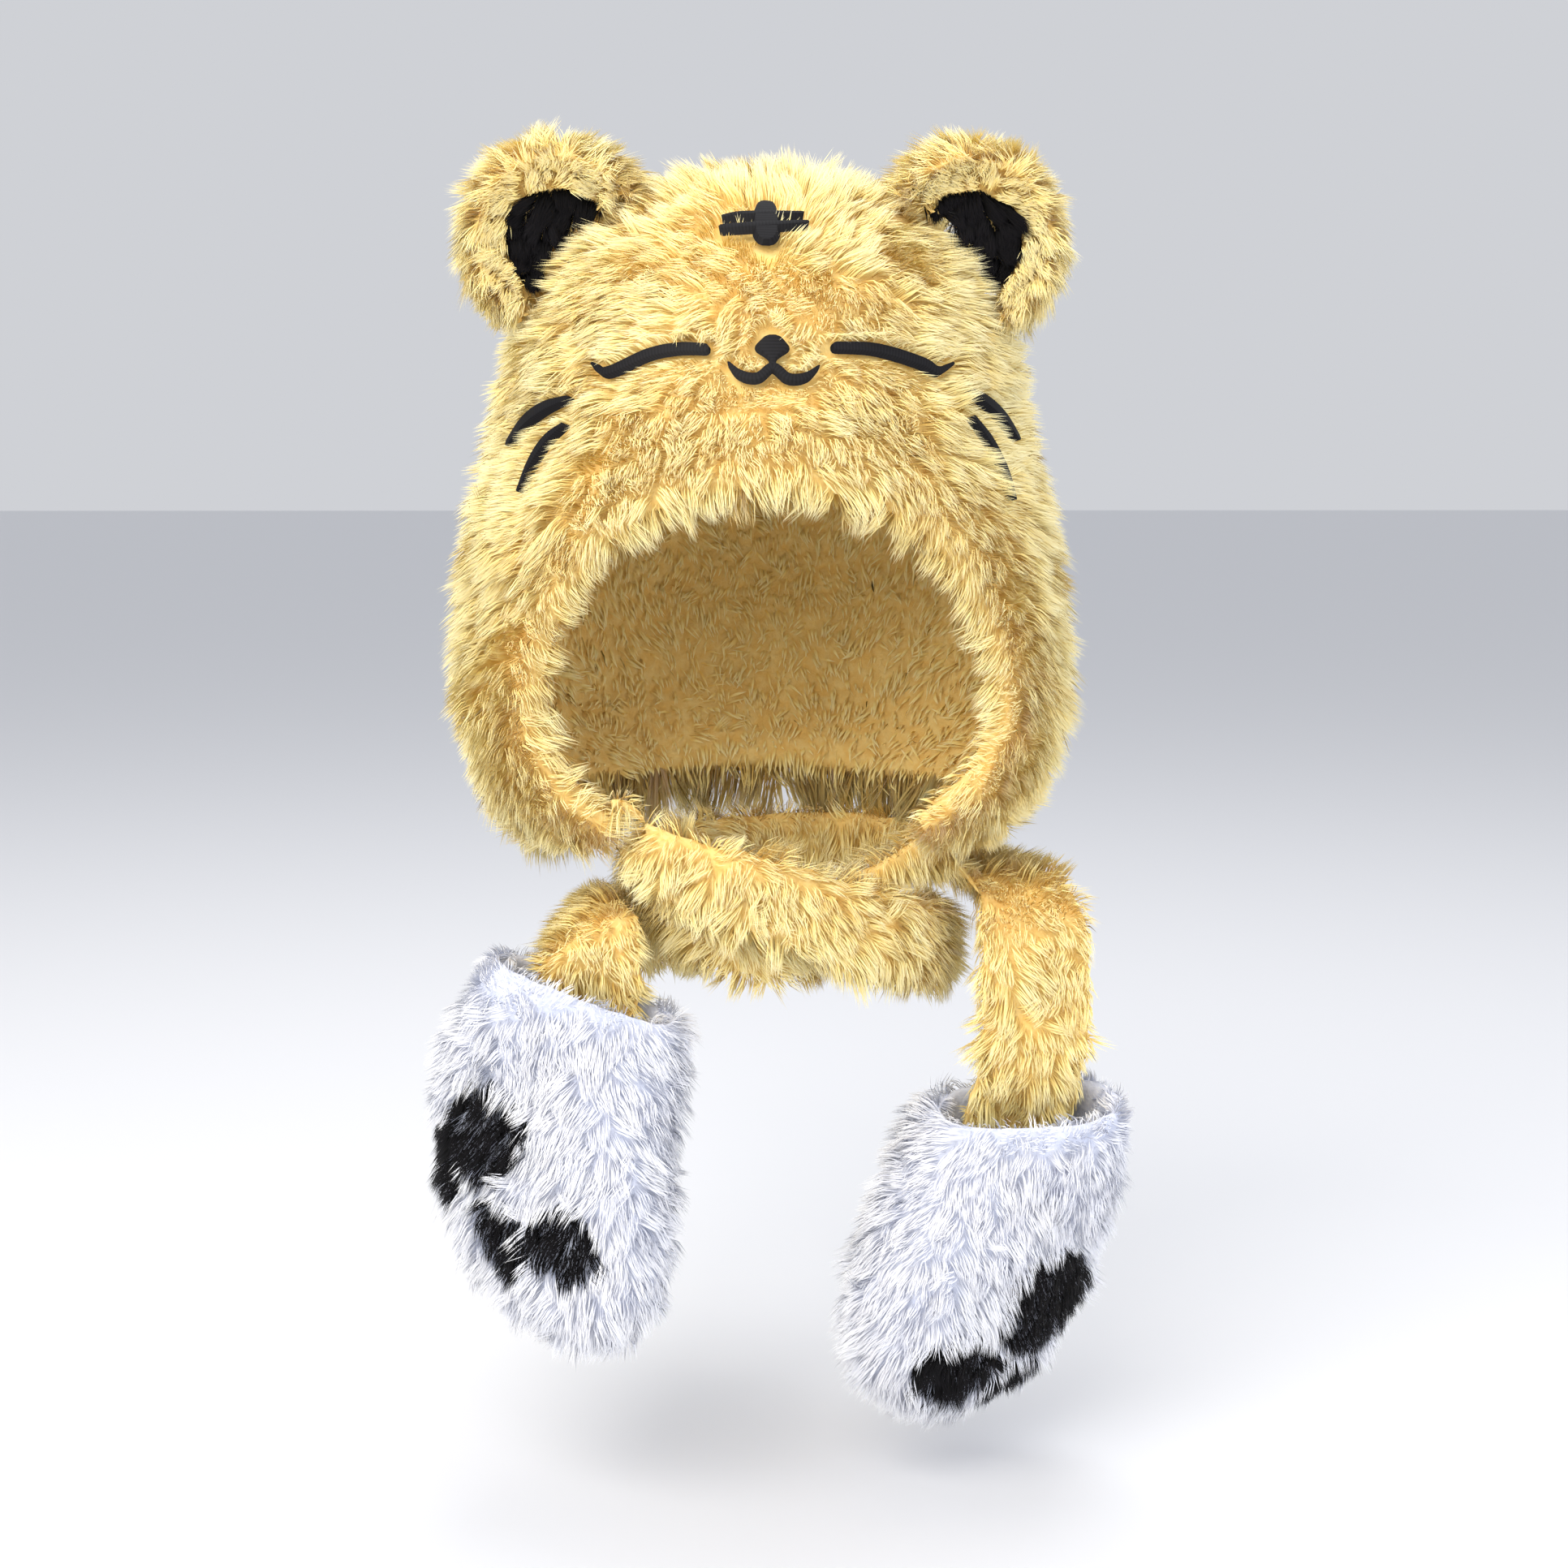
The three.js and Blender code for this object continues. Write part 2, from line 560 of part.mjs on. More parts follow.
/** The hood's wall as one closed body: the shaggy outside, the rolled edge and the inside. */
function hoodBody() {
  const rings = hoodOutside();
  const outerRings = rings.length;
  const innerRings = Math.round(outerRings / 2);
  const edge = capRing(1, TUFT_PITCH);
  const rolls = [
    { out: 0.3, down: 0.14, tuft: 1 },
    { out: 0.46, down: 0.42, tuft: 0.8 },
    { out: 0.34, down: 0.78, tuft: 0.4 },
  ];
  rolls.forEach(({ out, down, tuft }, j) => {
    rings.push(edge.map(({ point, normal, nap, wall }, k) => {
      const middle = point.clone().addScaledVector(nap, out * wall)
        .addScaledVector(normal, -down * wall);
      return tufted(middle, nap, normal, (j + k + outerRings) % 2 !== 0, 0.8 * tuft);
    }));
  });
  for (let j = innerRings; j >= 1; j -= 1) {
    rings.push(capRing(j / innerRings, 2 * TUFT_PITCH).map(({ point, normal, wall }) => (
      point.clone().addScaledVector(normal, -wall)
    )));
  }
  const top = hoodPoint(HOOD_POLE);
  const inside = top.clone().addScaledVector(hoodNormal(HOOD_POLE), -HOOD_WALL);
  return ringBody(rings, top, inside);
}

/** An ear's place: the middle of its disc and its own out, up and front directions. */
function earFrame(side) {
  const tilt = degrees(EAR_TILT) * side;
  const turn = degrees(EAR_TURN) * side;
  const up = new THREE.Vector3(Math.sin(tilt), 0, Math.cos(tilt));
  const front = new THREE.Vector3(Math.sin(turn), -Math.cos(turn), 0);
  front.addScaledVector(up, -front.dot(up)).normalize();
  const out = up.clone().cross(front).multiplyScalar(side);
  const root = onHood(EAR_ROOT.azimuth * side, EAR_ROOT.polar);
  const centre = root.clone().addScaledVector(up, EAR_ROOT.lift * EAR_HALF_HEIGHT)
    .addScaledVector(front, EAR_ROOT.forward * EAR_THICKNESS);
  return { centre, up, front, out };
}

/** A point of an ear by its turn from the ear's upright, as shares out and deep. */
function earPoint({ centre, up, front, out }, turn, reach, deep) {
  return centre.clone()
    .addScaledVector(out, Math.sin(degrees(turn)) * reach * EAR_HALF_WIDTH)
    .addScaledVector(up, Math.cos(degrees(turn)) * reach * EAR_HALF_HEIGHT)
    .addScaledVector(front, -deep * EAR_THICKNESS);
}

/** An ear as one closed body, before the hood's dome is cut from it. */
function earBody(side) {
  const frame = earFrame(side);
  const rows = EAR_PROFILE.slice(1, -1);
  const rings = rows.map(({ out, deep, tuft }, j) => (
    Array.from({ length: EAR_SIDES }, (_, k) => {
      const turn = (360 * k) / EAR_SIDES;
      const point = earPoint(frame, turn, out, deep);
      const normal = point.clone().sub(earPoint(frame, turn, 0.5 * out, 0)).normalize();
      return tufted(point, normal, frame.front, (j + k) % 2 === 0, tuft);
    })
  ));
  const last = EAR_PROFILE[EAR_PROFILE.length - 1];
  const frontTip = earPoint(frame, 0, 0, EAR_PROFILE[0].deep);
  return ringBody(rings, frontTip, earPoint(frame, 0, 0, last.deep));
}

/** The black patch in an ear's hollow, reaching into the ear before its seat is cut. */
function liningBody(side) {
  const frame = earFrame(side);
  const hollow = EAR_PROFILE.filter((row) => row.out <= 0.78);
  const place = (turn, reach, raised) => {
    const x = Math.sin(degrees(turn)) * reach + LINING_CENTRE.out;
    const y = Math.cos(degrees(turn)) * reach + LINING_CENTRE.up;
    const { deep } = sampled(hollow, 'out', Math.hypot(x, y));
    const own = THREE.MathUtils.radToDeg(Math.atan2(x, y));
    return earPoint(frame, own, Math.hypot(x, y), deep - raised / EAR_THICKNESS);
  };
  const levels = [
    { share: 0.5, raised: -STITCH_DEPTH },
    { share: 1, raised: -STITCH_DEPTH },
    { share: 1, raised: 0.6 * LINING_THICKNESS },
    { share: 0.9, raised: LINING_THICKNESS },
    { share: 0.5, raised: LINING_THICKNESS },
  ];
  const rings = levels.map(({ share, raised }) => (
    LINING_OUTLINE.map(({ turn, reach }) => place(turn, share * reach, raised))
  ));
  return ringBody(rings, place(0, 0, -STITCH_DEPTH), place(0, 0, LINING_THICKNESS));
}

/** A mitt's own directions: down its length, across it away from the middle, out of its palm. */
function mittFrame({ side, out, forward, below, aside, back, turn }) {
  const mouth = new THREE.Vector3(side * out, -forward, HOOD_FOOT - below);
  const down = new THREE.Vector3(aside, back, -1).normalize();
  const place = (along) => {
    const row = sampled(MITT_PROFILE, 'along', along);
    const facing = heading(turn * row.turn * side, 90);
    const palm = facing.addScaledVector(down, -facing.dot(down)).normalize();
    const across = down.clone().cross(palm).multiplyScalar(-side);
    const bulge = side < 0 ? row.aside * MITT_HALF_WIDTH : 0;
    const middle = mouth.clone().addScaledVector(down, along * MITT_LENGTH)
      .addScaledVector(across, bulge);
    return { middle, palm, across, row };
  };
  return { down, place };
}

/** A point of a mitt: a share along it, shares across and out of the palm, sunk by depth. */
function mittPoint(frame, along, { x, y }, depth) {
  const { middle, palm, across, row } = frame.place(along);
  const wide = Math.max(row.wide * MITT_HALF_WIDTH - depth, 0);
  const deep = Math.max(row.deep * MITT_HALF_DEPTH - depth, 0);
  const skew = -MITT_SKEW * x * wide * (1 - THREE.MathUtils.clamp(along, 0, 1)) ** 3;
  return middle.addScaledVector(across, x * wide)
    .addScaledVector(palm, y * deep)
    .addScaledVector(frame.down, skew);
}

/** The outward normal of a mitt at such a place. */
function mittNormal(frame, along, at) {
  const bent = { x: at.x, y: at.y };
  const turned = { x: at.x - 0.04 * at.y, y: at.y + 0.04 * at.x };
  const u = mittPoint(frame, along + 0.02, bent, 0).sub(mittPoint(frame, along - 0.02, bent, 0));
  const v = mittPoint(frame, along, turned, 0).sub(mittPoint(frame, along, bent, 0));
  const normal = u.cross(v).normalize();
  const outward = mittPoint(frame, along, at, 0).sub(frame.place(along).middle);
  return normal.dot(outward) < 0 ? normal.negate() : normal;
}

/** A unit point on a rounded rectangle, by degrees round it from its front. */
function roundedPoint(turn, squareness) {
  const [x, y] = [Math.sin(degrees(turn)), Math.cos(degrees(turn))];
  const size = (Math.abs(x) ** squareness + Math.abs(y) ** squareness) ** (1 / squareness);
  return { x: x / size, y: y / size };
}

/** The place on a palm a share of the way across it. */
const palmPoint = (x) => ({
  x,
  y: (1 - Math.abs(x) ** MITT_SQUARENESS) ** (1 / MITT_SQUARENESS),
});

/** How shaggy a mitt is at a point, from 0 on its pads to 1 away from them. */
function shaggyPaw(pads, frame, point) {
  const near = Math.min(...pads.map(({ along, across, wide }) => {
    const place = mittPoint(frame, along, palmPoint(across), 0);
    return place.distanceTo(point) - wide * MITT_HALF_WIDTH;
  }));
  return THREE.MathUtils.smoothstep(near, 0, 0.5 * QUIET_FAR);
}

/** A mitt as one closed body: a pocket with a shaggy outside, open at the mouth. */
function mittBody(mitt, pads) {
  const frame = mittFrame(mitt);
  const ring = (along, depth, sides) => Array.from({ length: sides }, (_, k) => (
    mittPoint(frame, along, roundedPoint((360 * k) / sides, MITT_SQUARENESS), depth)
  ));
  const rows = Math.round(MITT_LENGTH / TUFT_PITCH);
  const rings = [];
  for (let j = 0; j < rows; j += 1) {
    const along = MITT_TIP - ((MITT_TIP - MITT_LIP) * j) / (rows - 1);
    rings.push(Array.from({ length: MITT_SIDES }, (_, k) => {
      const at = roundedPoint((360 * k) / MITT_SIDES, MITT_SQUARENESS);
      const point = mittPoint(frame, along, at, 0);
      const amount = shaggyPaw(pads, frame, point);
      return tufted(point, mittNormal(frame, along, at), frame.down, (j + k) % 2 === 0, amount);
    }));
  }
  rings.push(ring(0, 0.25 * MITT_WALL, MITT_SIDES));
  rings.push(ring(0, 0.75 * MITT_WALL, MITT_SIDES));
  const end = 1 - (1.3 * MITT_WALL) / MITT_LENGTH;
  for (const share of [0.04, 0.22, 0.42, 0.6, 0.76, 0.9]) {
    rings.push(ring(share * end, MITT_WALL, MITT_SIDES / 2));
  }
  const middle = { x: 0, y: 0 };
  return ringBody(rings, mittPoint(frame, 1, middle, 0), mittPoint(frame, end, middle, 0));
}

/** A black pad on a palm, reaching into the palm before its seat is cut. */
function padBody(mitt, pad) {
  const frame = mittFrame(mitt);
  const place = (turn, share, raised) => {
    const across = pad.across + Math.sin(degrees(turn)) * share * pad.wide;
    const down = (Math.cos(degrees(turn)) * share * pad.tall * MITT_HALF_WIDTH) / MITT_LENGTH;
    const along = pad.along + down;
    const at = palmPoint(THREE.MathUtils.clamp(across, -0.97, 0.97));
    return mittPoint(frame, along, at, 0).addScaledVector(mittNormal(frame, along, at), raised);
  };
  const levels = [
    { share: 0.5, raised: -STITCH_DEPTH },
    { share: 1, raised: -STITCH_DEPTH },
    { share: 1, raised: 0.6 * PAD_THICKNESS },
    { share: 0.86, raised: PAD_THICKNESS },
    { share: 0.45, raised: PAD_THICKNESS },
  ];
  const rings = levels.map(({ share, raised }) => (
    Array.from({ length: PAD_SIDES }, (_, k) => place((360 * k) / PAD_SIDES, share, raised))
  ));
  return ringBody(rings, place(0, 0, -STITCH_DEPTH), place(0, 0, PAD_THICKNESS));
}

/** The start of a band, in the middle of the hood's wall. */
function startSection({ azimuth, polar, tall, thick, sunk }) {
  const direction = heading(azimuth, polar);
  const face = hoodNormal(direction);
  const middle = hoodPoint(direction).addScaledVector(face, -sunk * BRIM_WALL);
  return { middle, face, tall, thick };
}

/** A section of a wrap round the neck. */
function wrapSection({ turn, layer, drop, tall, thick, facing, pitch }) {
  const pile = BAND_THICKNESS + TUFT_RISE + 3 * SEAT_GAP;
  const radius = NECK_RADIUS + 0.5 * BAND_THICKNESS + layer * pile;
  const middle = heading(turn, 90).multiplyScalar(radius);
  middle.z = HOOD_FOOT - drop * BAND_WIDTH;
  return { middle, face: heading(facing, 90 - pitch), tall, thick };
}

/** A section of a band near and inside its mitt. */
function endSection(frame, { below, behind, tall, thick }) {
  const { middle, palm } = frame.place(below);
  middle.addScaledVector(palm, -behind * MITT_HALF_DEPTH);
  return { middle, face: palm, tall, thick };
}

/** A scarf band as one closed body, before its neighbours are cut from it. */
function bandBody(start, wrap, mitt) {
  const frame = mittFrame(mitt);
  const sections = [
    startSection(start),
    ...wrap.map(wrapSection),
    ...STRAP_END.map((row) => endSection(frame, row)),
  ];
  const smooth = (points) => new THREE.CatmullRomCurve3(points, false, 'centripetal');
  const middles = smooth(sections.map(({ middle }) => middle));
  const keyed = sections.map(({ face, tall, thick }, k) => (
    { k, x: face.x, y: face.y, z: face.z, tall, thick }
  ));
  const steps = Math.round(middles.getLength() / TUFT_PITCH);
  const rings = Array.from({ length: steps + 1 }, (_, j) => {
    const t = middles.getUtoTmapping(j / steps);
    const middle = middles.getPoint(t);
    const tangent = middles.getTangent(t);
    const row = sampled(keyed, 'k', t * (sections.length - 1));
    const face = new THREE.Vector3(row.x, row.y, row.z);
    face.addScaledVector(tangent, -face.dot(tangent)).normalize();
    const side = tangent.clone().cross(face);
    return Array.from({ length: BAND_SIDES }, (__, k) => {
      const at = roundedPoint((360 * k) / BAND_SIDES, BAND_SQUARENESS);
      const point = middle.clone()
        .addScaledVector(side, 0.5 * at.x * row.tall * BAND_WIDTH)
        .addScaledVector(face, 0.5 * at.y * row.thick * BAND_THICKNESS);
      const normal = side.clone().multiplyScalar(at.x * BAND_THICKNESS)
        .addScaledVector(face, at.y * BAND_WIDTH)
        .normalize();
      const ends = Math.min(j, steps - j) < 3 ? 0 : 1;
      const amount = at.y > -0.4 ? 0.8 * ends : 0;
      return tufted(point, normal, tangent, (j + k) % 2 === 0, amount);
    });
  });
  return ringBody(rings);
}

/** A named mesh of a solid in a plush or thread colour. */
function piece(name, shape, { color, roughness }) {
  const { vertProperties, triVerts } = shape.getMesh();
  const geometry = new THREE.BufferGeometry();
  geometry.setAttribute('position', new THREE.BufferAttribute(vertProperties, 3));
  geometry.setIndex(new THREE.BufferAttribute(triVerts, 1));
  geometry.computeVertexNormals();
  const material = new THREE.MeshStandardMaterial({ color, roughness, metalness: 0 });
  const mesh = new THREE.Mesh(geometry, material);
  mesh.name = name;
  return mesh;
}

const YELLOW_PLUSH = { color: '#f2cf6b', roughness: 0.95 };
const WHITE_PLUSH = { color: '#e9ecf8', roughness: 0.95 };
const BLACK_PLUSH = { color: '#0b0a0c', roughness: 0.9 };
const BLACK_THREAD = { color: '#1c1c24', roughness: 0.6 };

const hood = hoodBody();
const hoodSeat = solid(grown(hood, SEAT_GAP));
const domeSeat = solid(grown(domeBody(), SEAT_GAP));
const hoodGroup = new THREE.Group();
hoodGroup.add(piece('hood_shell', solid(hood), YELLOW_PLUSH));
for (const [name, side] of [['left', -1], ['right', 1]]) {
  const ear = earBody(side);
  const earSeat = solid(grown(ear, SEAT_GAP));
  const earSolid = solid(ear).subtract(domeSeat);
  const lining = solid(liningBody(side)).subtract(earSeat).subtract(domeSeat);
  hoodGroup.add(piece(`ear_${name}`, earSolid, YELLOW_PLUSH));
  hoodGroup.add(piece(`ear_lining_${name}`, lining, BLACK_PLUSH));
}
for (const [name, strokes] of Object.entries(STROKES)) {
  const whole = strokes.map((stroke) => solid(strokeBody(stroke))).reduce((a, b) => a.add(b));
  hoodGroup.add(piece(name, whole.subtract(domeSeat), BLACK_THREAD));
}

const scarfGroup = new THREE.Group();
const bands = {
  left: bandBody(LEFT_START, LEFT_WRAP, MITTS.left),
  right: bandBody(RIGHT_START, RIGHT_WRAP, MITTS.right),
};
const leftBandSeat = solid(grown(bands.left, SEAT_GAP));
for (const [name, mitt] of Object.entries(MITTS)) {
  const body = mittBody(mitt, PADS[name]);
  const mittSeat = solid(grown(body, SEAT_GAP));
  const uncut = solid(bands[name]).subtract(hoodSeat).subtract(mittSeat);
  const band = name === 'right' ? uncut.subtract(leftBandSeat) : uncut;
  scarfGroup.add(piece(`scarf_${name}`, band, YELLOW_PLUSH));
  scarfGroup.add(piece(`mitt_${name}`, solid(body), WHITE_PLUSH));
  for (const pad of PADS[name]) {
    const shape = solid(padBody(mitt, pad)).subtract(mittSeat);
    scarfGroup.add(piece(pad.name, shape, BLACK_PLUSH));
  }
}

const group = new THREE.Group();
group.add(hoodGroup, scarfGroup);
export default group;
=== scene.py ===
"""Looks of the animal hood scarf: long-pile plush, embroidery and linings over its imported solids."""

import logging
import math
from dataclasses import dataclass, field
from enum import Enum
from typing import Callable

import bpy
import numpy as np
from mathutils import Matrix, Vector, noise
from mathutils.bvhtree import BVHTree
from mathutils.kdtree import KDTree


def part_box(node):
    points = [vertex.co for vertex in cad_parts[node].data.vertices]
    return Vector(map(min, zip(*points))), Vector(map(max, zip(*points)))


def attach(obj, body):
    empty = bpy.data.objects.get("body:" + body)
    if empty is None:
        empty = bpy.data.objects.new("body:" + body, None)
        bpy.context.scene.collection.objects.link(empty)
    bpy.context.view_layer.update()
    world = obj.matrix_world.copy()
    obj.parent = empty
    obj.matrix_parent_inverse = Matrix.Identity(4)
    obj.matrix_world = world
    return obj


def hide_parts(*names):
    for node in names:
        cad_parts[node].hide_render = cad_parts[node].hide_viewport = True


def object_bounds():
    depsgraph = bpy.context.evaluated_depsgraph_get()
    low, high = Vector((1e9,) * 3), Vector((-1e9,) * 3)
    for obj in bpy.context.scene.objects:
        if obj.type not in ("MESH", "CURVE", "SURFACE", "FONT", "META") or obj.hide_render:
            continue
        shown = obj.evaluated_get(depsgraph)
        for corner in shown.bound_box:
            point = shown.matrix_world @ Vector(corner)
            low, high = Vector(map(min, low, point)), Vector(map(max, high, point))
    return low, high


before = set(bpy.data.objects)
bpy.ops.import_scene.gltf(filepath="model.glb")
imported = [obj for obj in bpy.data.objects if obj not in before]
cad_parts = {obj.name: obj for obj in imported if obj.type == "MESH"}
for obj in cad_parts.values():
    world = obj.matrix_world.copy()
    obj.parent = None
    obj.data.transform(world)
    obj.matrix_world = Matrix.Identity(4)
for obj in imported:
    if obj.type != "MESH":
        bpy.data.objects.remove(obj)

CAD_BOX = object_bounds()
LOG = logging.getLogger("hood_scarf")
MM = 0.001
Field = Callable[[np.ndarray, np.ndarray], np.ndarray]


class Cloth(Enum):
    """The cloths of the part, by the record's material slots."""

    YELLOW = "yellow_plush"
    WHITE = "white_plush"
    BLACK = "black_plush"
    THREAD = "black_thread"


def linear(colour: str) -> tuple[float, float, float, float]:
    """Turns an sRGB hex colour into linear light.

    Args:
        colour: Six hex digits after a hash sign.

    Returns:
        Red, green, blue and an alpha of 1.
    """
    parts = [int(colour[i : i + 2], 16) / 255 for i in (1, 3, 5)]
    return (*(v / 12.92 if v < 0.04045 else ((v + 0.055) / 1.055) ** 2.4 for v in parts), 1.0)


def add_node(tree: bpy.types.NodeTree, kind: str, links: dict | None = None, **settings) -> bpy.types.Node:
    """Adds a node with its settings and the links into it.

    Args:
        tree: The material's node tree.
        kind: The node's type name.
        links: Input name or number to a value, or to an output socket.
        **settings: Properties of the node itself.

    Returns:
        The new node.
    """
    node = tree.nodes.new(kind)
    for name, value in settings.items():
        setattr(node, name, value)
    for name, value in (links or {}).items():
        if isinstance(value, bpy.types.NodeSocket):
            tree.links.new(value, node.inputs[name])
        else:
            node.inputs[name].default_value = value
    return node


def new_material(name: str) -> tuple[bpy.types.Material, bpy.types.NodeTree]:
    """Makes an empty node material and returns it with its tree."""
    material = bpy.data.materials.new(name)
    material.use_nodes = True
    material.node_tree.nodes.clear()
    return material, material.node_tree


def ramp(tree: bpy.types.NodeTree, factor: bpy.types.NodeSocket, stops: list[tuple[float, str]]) -> bpy.types.NodeSocket:
    """A colour ramp through sRGB stops.

    Args:
        tree: The material's node tree.
        factor: What runs along the ramp.
        stops: Place and colour of each stop.

    Returns:
        The ramp's colour output.
    """
    node = add_node(tree, "ShaderNodeValToRGB", {"Fac": factor})
    elements = node.color_ramp.elements
    while len(elements) < len(stops):
        elements.new(0.5)
    for element, (place, colour) in zip(elements, stops):
        element.position = place
        element.color = linear(colour)
    return node.outputs["Color"]


def finish_surface(tree: bpy.types.NodeTree, inputs: dict) -> None:
    """Closes a material with one principled surface and the output."""
    surface = add_node(tree, "ShaderNodeBsdfPrincipled", inputs)
    add_node(tree, "ShaderNodeOutputMaterial", {"Surface": surface.outputs["BSDF"]})


@dataclass(frozen=True)
class PileFinish:
    """Long-pile polyester plush, brushed up and tumbled into locks.

    Fibres are matt with a soft halo at the edges of a form; their darker, warmer roots are painted shade of the
    crevices in the pile.
    """

    name: str
    pale: tuple[str, str, str]  # root, middle and tip of the palest lock
    deep: tuple[str, str, str]  # the same of the deepest lock
    roughness: float = 0.85
    sheen: float = 0.25

    def material(self) -> bpy.types.Material:
        """Colours each fibre from painted shade at its root to its tip, between a pale and a deep lock."""
        material, tree = new_material(self.name)
        along = add_node(tree, "ShaderNodeAttribute", attribute_name="along").outputs["Fac"]
        tone = add_node(tree, "ShaderNodeAttribute", attribute_name="tone").outputs["Fac"]
        # The darker stops at the roots are painted shade of the crevices between the locks.
        places = (0.18, 0.55, 0.95)
        pale = ramp(tree, along, list(zip(places, self.pale)))
        deep = ramp(tree, along, list(zip(places, self.deep)))
        mix = add_node(tree, "ShaderNodeMix", {0: tone, 6: pale, 7: deep}, data_type="RGBA")
        finish_surface(
            tree,
            {
                "Base Color": mix.outputs[2],
                "Roughness": self.roughness,
                "Specular IOR Level": 0.15,
                "Sheen Weight": self.sheen,
                "Sheen Roughness": 0.4,
            },
        )
        return material


@dataclass(frozen=True)
class BackingFinish:
    """Knitted polyester ground of the plush, seen only between the locks.

    It is matt and mottled, at the depth where the pile's light is lost.
    """

    name: str
    light: str
    dark: str
    mottle: float = 7.0  # mm across a blotch, the spacing of the locks
    roughness: float = 0.95

    def material(self) -> bpy.types.Material:
        """Mottles the ground between two colours and roughens it with a fine bump."""
        material, tree = new_material(self.name)
        place = add_node(tree, "ShaderNodeTexCoord").outputs["Object"]
        blotch = add_node(tree, "ShaderNodeTexNoise", {"Vector": place, "Scale": 1 / (self.mottle * MM), "Detail": 3.0})
        colour = ramp(tree, blotch.outputs["Fac"], [(0.35, self.dark), (0.65, self.light)])
        bump = add_node(
            tree,
            "ShaderNodeBump",
            {"Height": blotch.outputs["Fac"], "Strength": 0.6, "Distance": 2 * MM},
        )
        finish_surface(
            tree,
            {
                "Base Color": colour,
                "Roughness": self.roughness,
                "Specular IOR Level": 0.1,
                "Normal": bump.outputs["Normal"],
            },
        )
        return material


@dataclass(frozen=True)
class StitchFinish:
    """Rayon satin stitch, laid side by side across the stroke.

    The threads are near black with a low gloss; the valleys between one crown and the next are darkened with painted
    shade.
    """

    name: str
    thread: str
    # colour of the painted shade in the valleys between stitches
    valley_shade: str
    roughness: float = 0.6

    def material(self) -> bpy.types.Material:
        """Paints shade into the valleys between the stitches' crowns."""
        material, tree = new_material(self.name)
        crown = add_node(tree, "ShaderNodeAttribute", attribute_name="along").outputs["Fac"]
        colour = ramp(tree, crown, [(0.1, self.valley_shade), (0.9, self.thread)])
        finish_surface(
            tree,
            {"Base Color": colour, "Roughness": self.roughness, "Specular IOR Level": 0.2},
        )
        return material


@dataclass(frozen=True)
class FloorFinish:
    """Matt pale studio floor, plain so that only the part is read."""

    name: str = "pale_floor"
    colour: str = "#e6e7ea"

    def material(self) -> bpy.types.Material:
        """One plain matt colour, as the stage isn't part of the object."""
        material, tree = new_material(self.name)
        finish_surface(tree, {"Base Color": linear(self.colour), "Roughness": 0.9, "Specular IOR Level": 0.1})
        return material


def new_piece(name: str, mesh: bpy.types.Mesh, material: bpy.types.Material) -> bpy.types.Object:
    """Adds a piece to the scene, dresses it and lets it ride on the part.

    Args:
        name: The piece's name.
        mesh: Its mesh, in the frame's own place.
        material: Its one material.

    Returns:
        The new object.
    """
    piece = bpy.data.objects.new(name, mesh)
    bpy.context.scene.collection.objects.link(piece)
    mesh.materials.clear()
    mesh.materials.append(material)
    mesh.polygons.foreach_set("use_smooth", np.ones(len(mesh.polygons), dtype=bool))
    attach(piece, "root")
    return piece


def unit(vectors: np.ndarray) -> np.ndarray:
    """Rows of unit length."""
    return vectors / np.maximum(np.linalg.norm(vectors, axis=1, keepdims=True), 1e-9)


def tangent(vectors: np.ndarray, normals: np.ndarray) -> np.ndarray:
    """The unit part of each row that lies in the surface."""
    return unit(vectors - normals * np.sum(vectors * normals, axis=1, keepdims=True))


def swirl(points: np.ndarray, size: float, seed: float) -> np.ndarray:
    """A smooth random vector at each point, whose swirls are about size millimetres across."""
    shift = Vector((seed * 3.1, seed * 7.7, seed * 1.3))
    return np.array([noise.noise_vector(Vector(p) / (size * MM) + shift) for p in points])


def tree_of(node: str) -> BVHTree:
    """A search tree over the triangles of a node's solid."""
    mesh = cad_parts[node].data
    mesh.calc_loop_triangles()
    corners = [tuple(v.co) for v in mesh.vertices]
    return BVHTree.FromPolygons(corners, [tuple(t.vertices) for t in mesh.loop_triangles])


